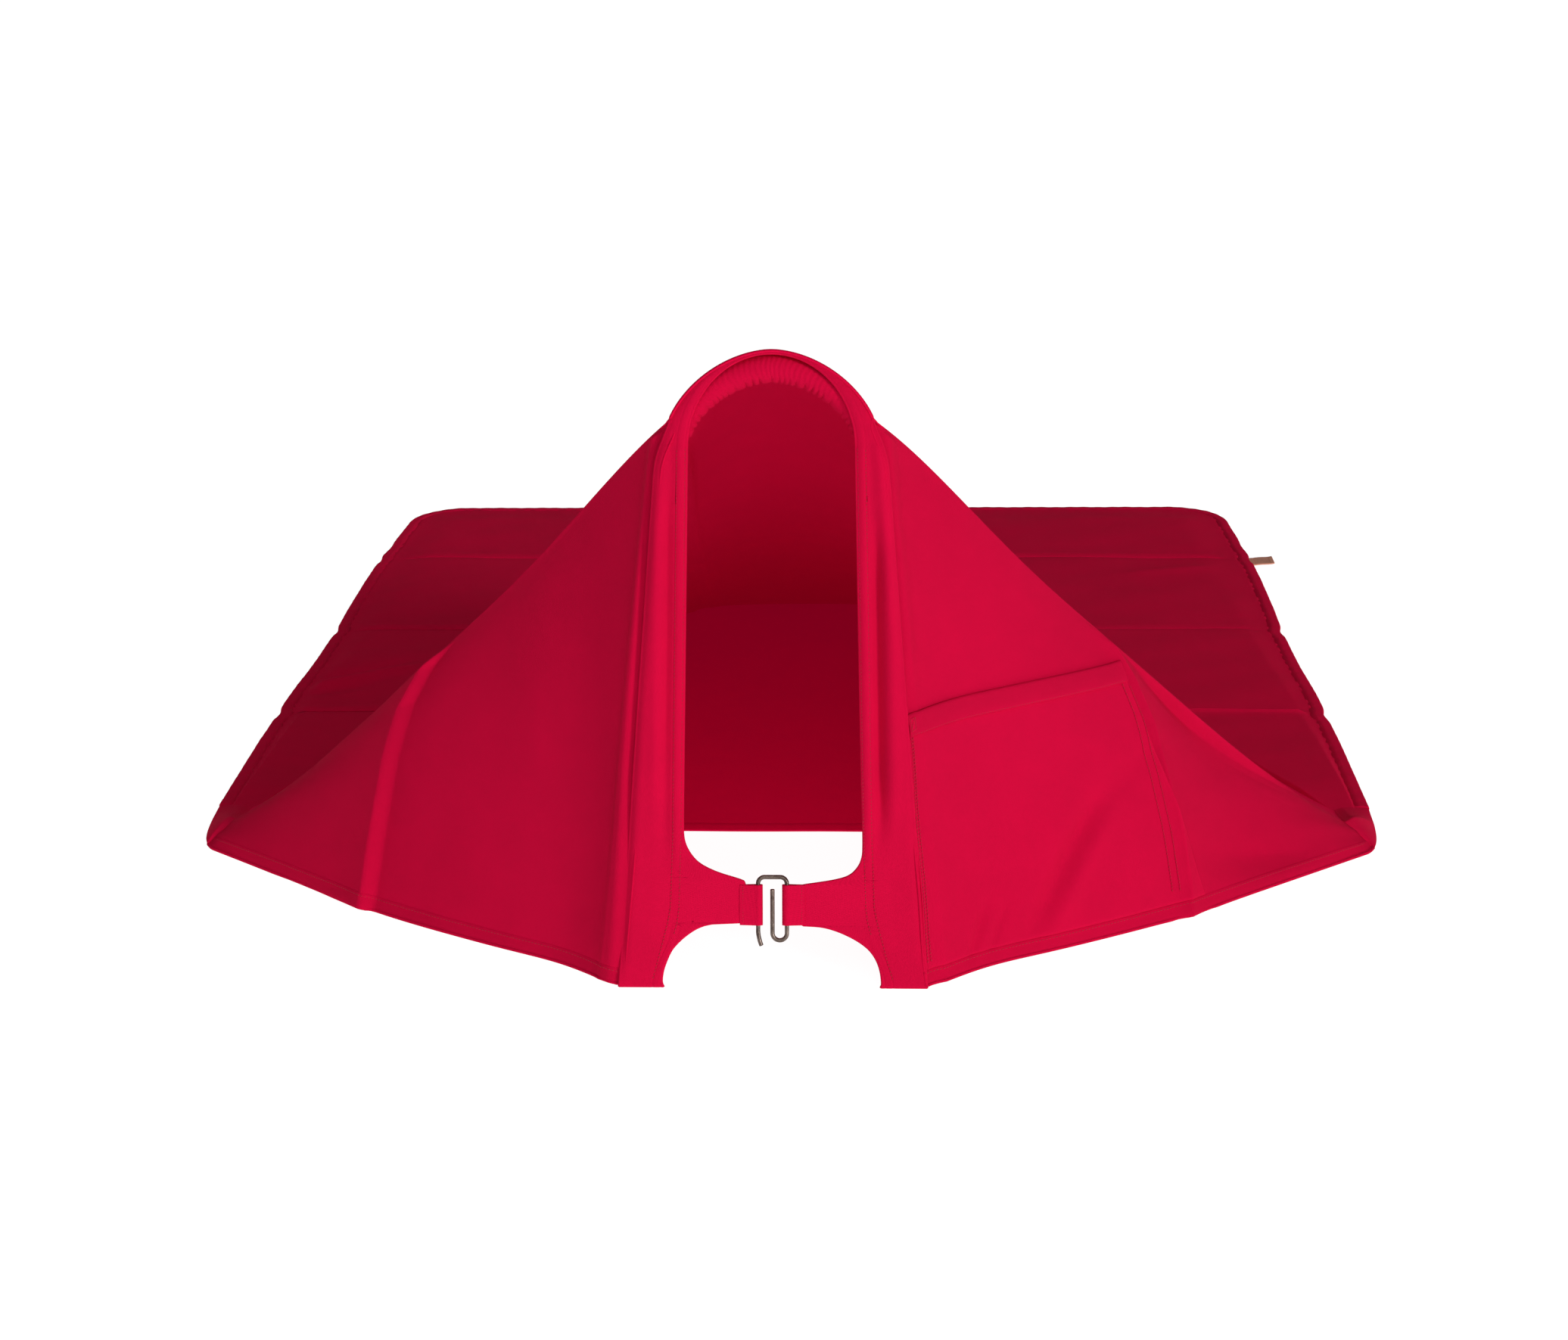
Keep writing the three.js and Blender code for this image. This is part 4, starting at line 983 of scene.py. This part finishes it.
def strap_loop(word, side):
    """The strap's end folded back round the clasp's leg: a ring section with a flat double tail, swept along
    the leg. The bore stays open round the wire."""
    turn = np.linspace(0, 2 * np.pi, 64, endpoint=False)
    bore, skin, tail, half_tail = 0.0025, 0.0043, 0.0295, 0.0019
    round_x, round_z = LEG_X + skin * np.cos(turn), skin * np.sin(turn)
    share = smooth(np.cos(turn), 0.35, 0.8)
    outer_x = lerp(round_x, tail, share)
    flat_z = np.sign(np.sin(turn) + 1e-9) * lerp(np.abs(round_z), half_tail, share)
    outer_z = np.where(share > 0, flat_z, round_z)
    outer_z[0] = 0.0
    rises = np.linspace(STRAP_LOW + 0.0004, STRAP_HIGH - 0.0004, 30)
    bow = 0.0004 * np.sin((rises - STRAP_LOW) / (STRAP_HIGH - STRAP_LOW) * np.pi)
    skins = []
    for x, z in ((outer_x, outer_z), (LEG_X + bore * np.cos(turn), bore * np.sin(turn))):
        out = z + np.sign(z) * bow[:, None] - BACK
        skins.append(opening(x * side, rises[:, None], out).reshape(-1, 3))
    count, around = len(rises), len(turn)
    points = np.concatenate(skins)
    index = np.arange(count * around).reshape(count, around)
    turned = np.roll(index, -1, axis=1)
    skin_out = np.stack([index[:-1], index[1:], turned[1:], turned[:-1]], -1).reshape(-1, 4)
    shift = count * around
    low_end = np.stack([index[0], turned[0], turned[0] + shift, index[0] + shift], -1)
    high_end = np.stack([index[-1], index[-1] + shift, turned[-1] + shift, turned[-1]], -1)
    faces = np.concatenate([skin_out, skin_out[:, ::-1] + shift, low_end, high_end])
    if side > 0:
        faces = faces[:, ::-1]
    uv = uv_pairs(rises[:, None], turn[None, :] * 0.004)
    worn = np.zeros(len(points))
    worn[:shift] = np.repeat(bell(np.minimum(rises - STRAP_LOW, STRAP_HIGH - rises), 0.002), around)
    loop = add_mesh(f"strap_loop_{word}_soft", points, faces, np.concatenate([uv, uv]), worn, trim_cloth)
    r = np.linspace(STRAP_LOW + 0.001, STRAP_HIGH - 0.001, 60)
    for number, x in enumerate((0.0265, 0.0235)):
        path = opening(np.full_like(r, x * side), r, 0.0006)
        stitches(f"strap_{word}_stitches_{number}", path, FRONT, red_thread, pitch=0.0028)


for word, side in SIDES.items():
    strap_loop(word, side)

# ---- The padded rim under the arch ----

ROLL_OUTER = np.array([HOOD_HALF, HOOD_RISE]) - 0.0026
ROLL_INNER = np.array([0.0735, 0.0570])
ROLL_END = 0.12


def roll_radius(angle):
    """Half the distance between the roll's outer and inner arch, 0.7 cos^2 mm less."""
    return lerp(*(ROLL_OUTER - ROLL_INNER), np.sin(angle)) / 2 - 0.0007 * np.cos(angle) ** 2


def roll_path(angle):
    """The roll's middle line: the arch half way between the two, its radius + 3.3 mm behind the opening."""
    half, rise = (ROLL_OUTER + ROLL_INNER) / 2
    x, r = arch(half, rise, angle, HOOD_POWER)
    return opening(x, r, -0.0033 - roll_radius(angle))


def roll_gathers(w, turn):
    """Share by which the roll's radius changes at the share w of its length: drawn-in puckers on its lower
    side, uneven in pitch and depth, and fine wrinkles on the rest."""
    pitch = 29 * w + 0.45 * np.sin(17 * w) + 0.3 * np.sin(41 * w + 1)
    pucker = np.abs(np.sin(np.pi * pitch)) ** 0.7
    low = smooth(-np.cos(turn), 0.35, 0.95)
    uneven = 0.75 + 0.25 * np.sin(23 * w + 0.6)
    wrinkle = 0.012 * np.sin(2 * np.pi * (47 * w + 0.25 * np.sin(3 * turn))) * smooth(w, 0.0, 0.35)
    return -0.17 * (1 - pucker) * low * uneven + wrinkle * (1 - low)


steps = 560
angle = np.linspace(ROLL_END, np.pi - ROLL_END, steps)
path = roll_path(angle)
hub = opening(0.0, SPRING, -0.013)
outward = unit(np.cross(unit(np.gradient(path, axis=0)), FRONT))
outward *= np.sign(np.sum(outward * (path - hub), axis=-1, keepdims=True))
turn = np.linspace(0, 2 * np.pi, 56, endpoint=False)[None, :]
k = np.arange(steps)[:, None]
taper = smooth(np.minimum(k, steps - 1 - k) / steps, -0.01, 0.035)
size = roll_radius(angle)[:, None] * taper * (1 + roll_gathers(k / (steps - 1), turn))
ring = np.cos(turn)[..., None] * outward[:, None, :] + np.sin(turn)[..., None] * FRONT
points = (path[:, None, :] + ring * size[..., None]).reshape(-1, 3)
uv = uv_pairs(run_of(path)[:, None], turn * 0.009)
rim = add_mesh("rim_roll_soft", points, rings(steps, 56), uv, 0.0, rim_cloth)
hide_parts("rim_cover", "rim_padding", "rim_elastic")

# ---- The pocket on the right panel ----

POCKET_A = (0.004, 0.553)  # the pocket's two sides as shares of the panel


def pocket_top(a):
    """The pocket's top edge, 247 + 14 a mm up, as a share of the panel's height."""
    return np.minimum((0.247 + 0.014 * a) / panel_height(a), 0.97)


def pocket_mesh(name, low, high, lift, material, steps, over, under):
    """A sheet on the right panel between low(a) and high(a) of its height, lift + 1.2 mm sin^0.5 above it."""
    def point(a, t):
        b = lerp(low(a), high(a), t)
        return on_panel(a, b, 1, lift + 0.0012 * np.sin(np.pi * np.clip(t, 0, 1)) ** 0.5)

    points, faces, a, t = mesh_grid(point, np.linspace(*POCKET_A, 250), np.linspace(0, 1, steps))
    uv = np.stack([a * HEM_LENGTH, t * 0.24], -1)
    made = cloth(name, points, faces, uv, material, over, under, 0.003)
    return made


def below_top(distance):
    """The pocket's top edge moved down by a distance, as a share of the panel's height."""
    return lambda a: pocket_top(a) - distance / panel_height(a)


patch = pocket_mesh(
    "pocket_patch_soft", lambda a: 0.016 / panel_height(a), below_top(0.012), 0.0010, shell_cloth, 110,
    0.0009, 0.0009,
)
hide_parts("pocket_patch")
rim_hem = pocket_mesh(
    "pocket_hem_soft", below_top(0.020), pocket_top, 0.0025, trim_cloth, 14, 0.0010, 0.0012
)
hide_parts("pocket_hem")


def pocket_line(name, a, b, lift):
    return stitches(name, on_panel(a, b, 1, lift), PANEL_FRONT, red_thread, pitch=0.0032)


a = np.linspace(POCKET_A[0] + 0.002, POCKET_A[1] - 0.002, 500)
pocket_line("pocket_stitches_top", a, below_top(0.0022)(a), 0.0036)
pocket_line("pocket_stitches_hem", a, below_top(0.0188)(a), 0.0036)
b = np.linspace(0.04, 0.485, 500)
for number, share in enumerate((0.0065, 0.0185)):
    pocket_line(f"pocket_stitches_side_{number}", np.full_like(b, share), b, 0.0034)
b = np.linspace(0.08, 0.80, 500)
for number, gap in enumerate((0.020, 0.034)):
    pocket_line(f"crease_stitches_{number}", np.interp(b, *RIGHT_CREASE) - gap, b, 0.0034)


def tack_point(a, t):
    """The tack's patch: from 15 mm (t = 0) to 3 mm (t = 1) below the pocket's top edge."""
    return on_panel(a, below_top(0.003)(a) - (1 - t) * 0.012 / panel_height(a), 1, 0.0044)


points, faces, a, t = mesh_grid(tack_point, np.linspace(0.0075, 0.029, 14), np.linspace(0, 1, 14))
uv = np.stack([a * HEM_LENGTH, t * 0.012], -1)
tack = cloth("pocket_tack_soft", points, faces, uv, trim_cloth, 0.0004, 0.001, 0.002)
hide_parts("pocket_tack")
box_a = np.array([0.008, 0.028, 0.028, 0.008, 0.008, 0.028])
box_t = np.array([0.06, 0.06, 0.94, 0.94, 0.06, 0.94])
way = np.linspace(0, 5, 240)
a = np.interp(way, np.arange(6), box_a)
t = np.interp(way, np.arange(6), box_t)
path = tack_point(a, t) + PANEL_FRONT * 0.0005
stitches("pocket_tack_stitches", path, PANEL_FRONT, red_thread, pitch=0.002)

# ---- The clasp and the tab ----


def clasp_path():
    """The wire's centre line in the opening's plane: bent tip, long leg, corners of 6 mm, short leg, hook
    and prong. The corners are cubic curves close to quarter circles."""
    def corner(start, turn, end):
        s, m, e = np.array(start), np.array(turn), np.array(end)
        return cubic(s, lerp(s, m, 0.5523), lerp(e, m, 0.5523), e, np.linspace(0, 1, 14)[:, None])

    def straight(start, end, count=16):
        return lerp(np.array(start), np.array(end), np.linspace(0, 1, count)[1:-1, None])

    x, top, r, h, low = 0.013, 0.101, 0.006, 0.0065, 0.0434
    runs = [
        corner((-0.010, 0.0385), (-x, 0.0455), (-x, 0.052)),
        straight((-x, 0.052), (-x, top - r), 30),
        corner((-x, top - r), (-x, top), (-x + r, top)),
        straight((-x + r, top), (x - r, top)),
        corner((x - r, top), (x, top), (x, top - r)),
        straight((x, top - r), (x, low + h), 30),
        corner((x, low + h), (x, low), (x - h, low)),
        corner((x - h, low), (x - 2 * h, low), (x - 2 * h, low + h))[1:],
        straight((x - 2 * h, low + h), (x - 2 * h, 0.09), 30),
        np.array([[x - 2 * h, 0.09]]),
    ]
    flat = np.concatenate(runs)
    return opening(flat[:, 0], flat[:, 1], -BACK)


path = clasp_path()
direction = unit(np.diff(path[[0, 1, -2, -1]], axis=0))
ends = path[:1] + direction[0] * 0.0004, path[-1:] - direction[2] * 0.0004
path = np.concatenate([path[:1], ends[0], path[1:-1], ends[1], path[-1:]])
steps = len(path)


def wire_radius(k, turn):
    """2 mm with ripples of 1.2 %, and 1.65 mm at the very ends."""
    ends = np.minimum(k, steps - 1 - k)
    return np.where(ends == 0, 0.00165, 0.002) * (1 + 0.012 * np.sin(k * 0.9 + 2 * turn))


points, groups, uv = tube(path, wire_radius, 28, FRONT)
clasp = add_mesh("clasp_wire", points, groups, uv, 0.0, wire_steel, body="clasp")
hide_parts("clasp")


def tab_point(u, v):
    """The tab: 24.7 mm of leather out from the hem, 29.6 mm wide, rising by 3 u^2 mm with a slight wave."""
    x = HALF + 0.0003 + 0.0247 * u
    return vec(x, 0.943 + 0.0148 * v, 0.0010 + 0.0006 * np.sin(u * 5) + 0.0030 * u * u)


def tab_piece(name, us, body):
    points, faces, u, v = mesh_grid(tab_point, us, np.linspace(-1, 1, 40))
    uv = np.stack([u * 0.025, v * 0.015], -1)
    made = cloth(name, points, faces, uv, tab_leather, 0.0009, 0.0009, 0.002, body)
    return made


tab = tab_piece("side_tab_leather", np.linspace(0, 1, 40), "side_tab")
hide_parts("side_tab")
tab_piece("side_tab_root_leather", np.linspace(-0.32, -0.02, 12), "root")
v = np.linspace(-0.85, 0.85, 60)
tab_thread = thread("tab_thread", (0.55, 0.32, 0.2, 1))
path = tab_point(np.full_like(v, 0.85), v) + UP * 0.0011
stitches("side_tab_stitches", path, UP, tab_thread, body="side_tab")

# ---- The soft front panels and near corners, looked up by name ----

named = bpy.data.objects


def pieces(*names):
    return tuple(named[name] for name in names)


for word in SIDES:
    front, corner = pieces(f"front_panel_{word}_soft", f"near_corner_{word}_soft")

# ---- Floor, light and camera ----


def stand(name, data):
    """An object of the studio, linked to the scene."""
    obj = bpy.data.objects.new(name, data)
    bpy.context.collection.objects.link(obj)
    return obj


floor_paint = new_material(
    "pale_floor", Roughness=0.9, Specular_IOR_Level=0.1, Base_Color=(0.16, 0.16, 0.16, 1),
    Emission_Color=(1, 1, 1, 1), Emission_Strength=0.96,
)[0]
mesh = bpy.data.meshes.new("floor")
far, low = 60.0, -0.0005
mesh.from_pydata([(-far, -far, low), (far, -far, low), (far, far, low), (-far, far, low)], [], [(0, 1, 2, 3)])
mesh.materials.append(floor_paint)
floor = stand("floor", mesh)

world = bpy.data.worlds.new("studio")
world.use_nodes = True
sky = world.node_tree.nodes["Background"].inputs
sky["Color"].default_value = (1, 1, 1, 1)
sky["Strength"].default_value = 0.2
bpy.context.scene.world = world

SUNS = (  # name, strength, angular size in degrees, direction towards it
    ("key_light", 1.58, 14, (0.68, -0.64, 0.26)),
    ("fill_light", 0.50, 40, (-0.02, -0.70, 0.72)),
)
for name, energy, spread, toward in SUNS:
    sun = bpy.data.lights.new(name, "SUN")
    sun.energy = energy
    sun.angle = math.radians(spread)
    toward = np.array(toward) / np.linalg.norm(toward)
    turned = (math.acos(toward[2]), 0, math.atan2(toward[1], toward[0]) + math.pi / 2)
    stand(name, sun).rotation_euler = turned

front = bpy.data.lights.new("front_light", "AREA")
front.size = 0.6
front.energy = 3.4
lamp = stand("front_light", front)
lamp.location = (0.35, -2.30, 0.80)
lamp.rotation_euler = (math.radians(76), 0, math.radians(13))

yaw, pitch, roll = math.radians(-2.42), math.radians(19.561), math.radians(-0.763)
ahead = np.array([math.sin(yaw) * math.cos(pitch), math.cos(yaw) * math.cos(pitch), -math.sin(pitch)])
flat_right = np.array([math.cos(yaw), -math.sin(yaw), 0])
flat_up = np.cross(flat_right, ahead)
camera = bpy.data.cameras.new("front_camera")
camera.sensor_width = 36
camera.lens = 60.566
camera.clip_end = 200
eye = stand("front_camera", camera)
axes = np.eye(4)
axes[:3, 0] = flat_right * math.cos(roll) + flat_up * math.sin(roll)
axes[:3, 1] = -flat_right * math.sin(roll) + flat_up * math.cos(roll)
axes[:3, 2] = -ahead
axes[:3, 3] = (0.1049, -3.1009, 1.069)
eye.matrix_world = mathutils.Matrix(axes.tolist())
bpy.context.scene.camera = eye
bpy.context.scene.view_settings.view_transform = "Standard"
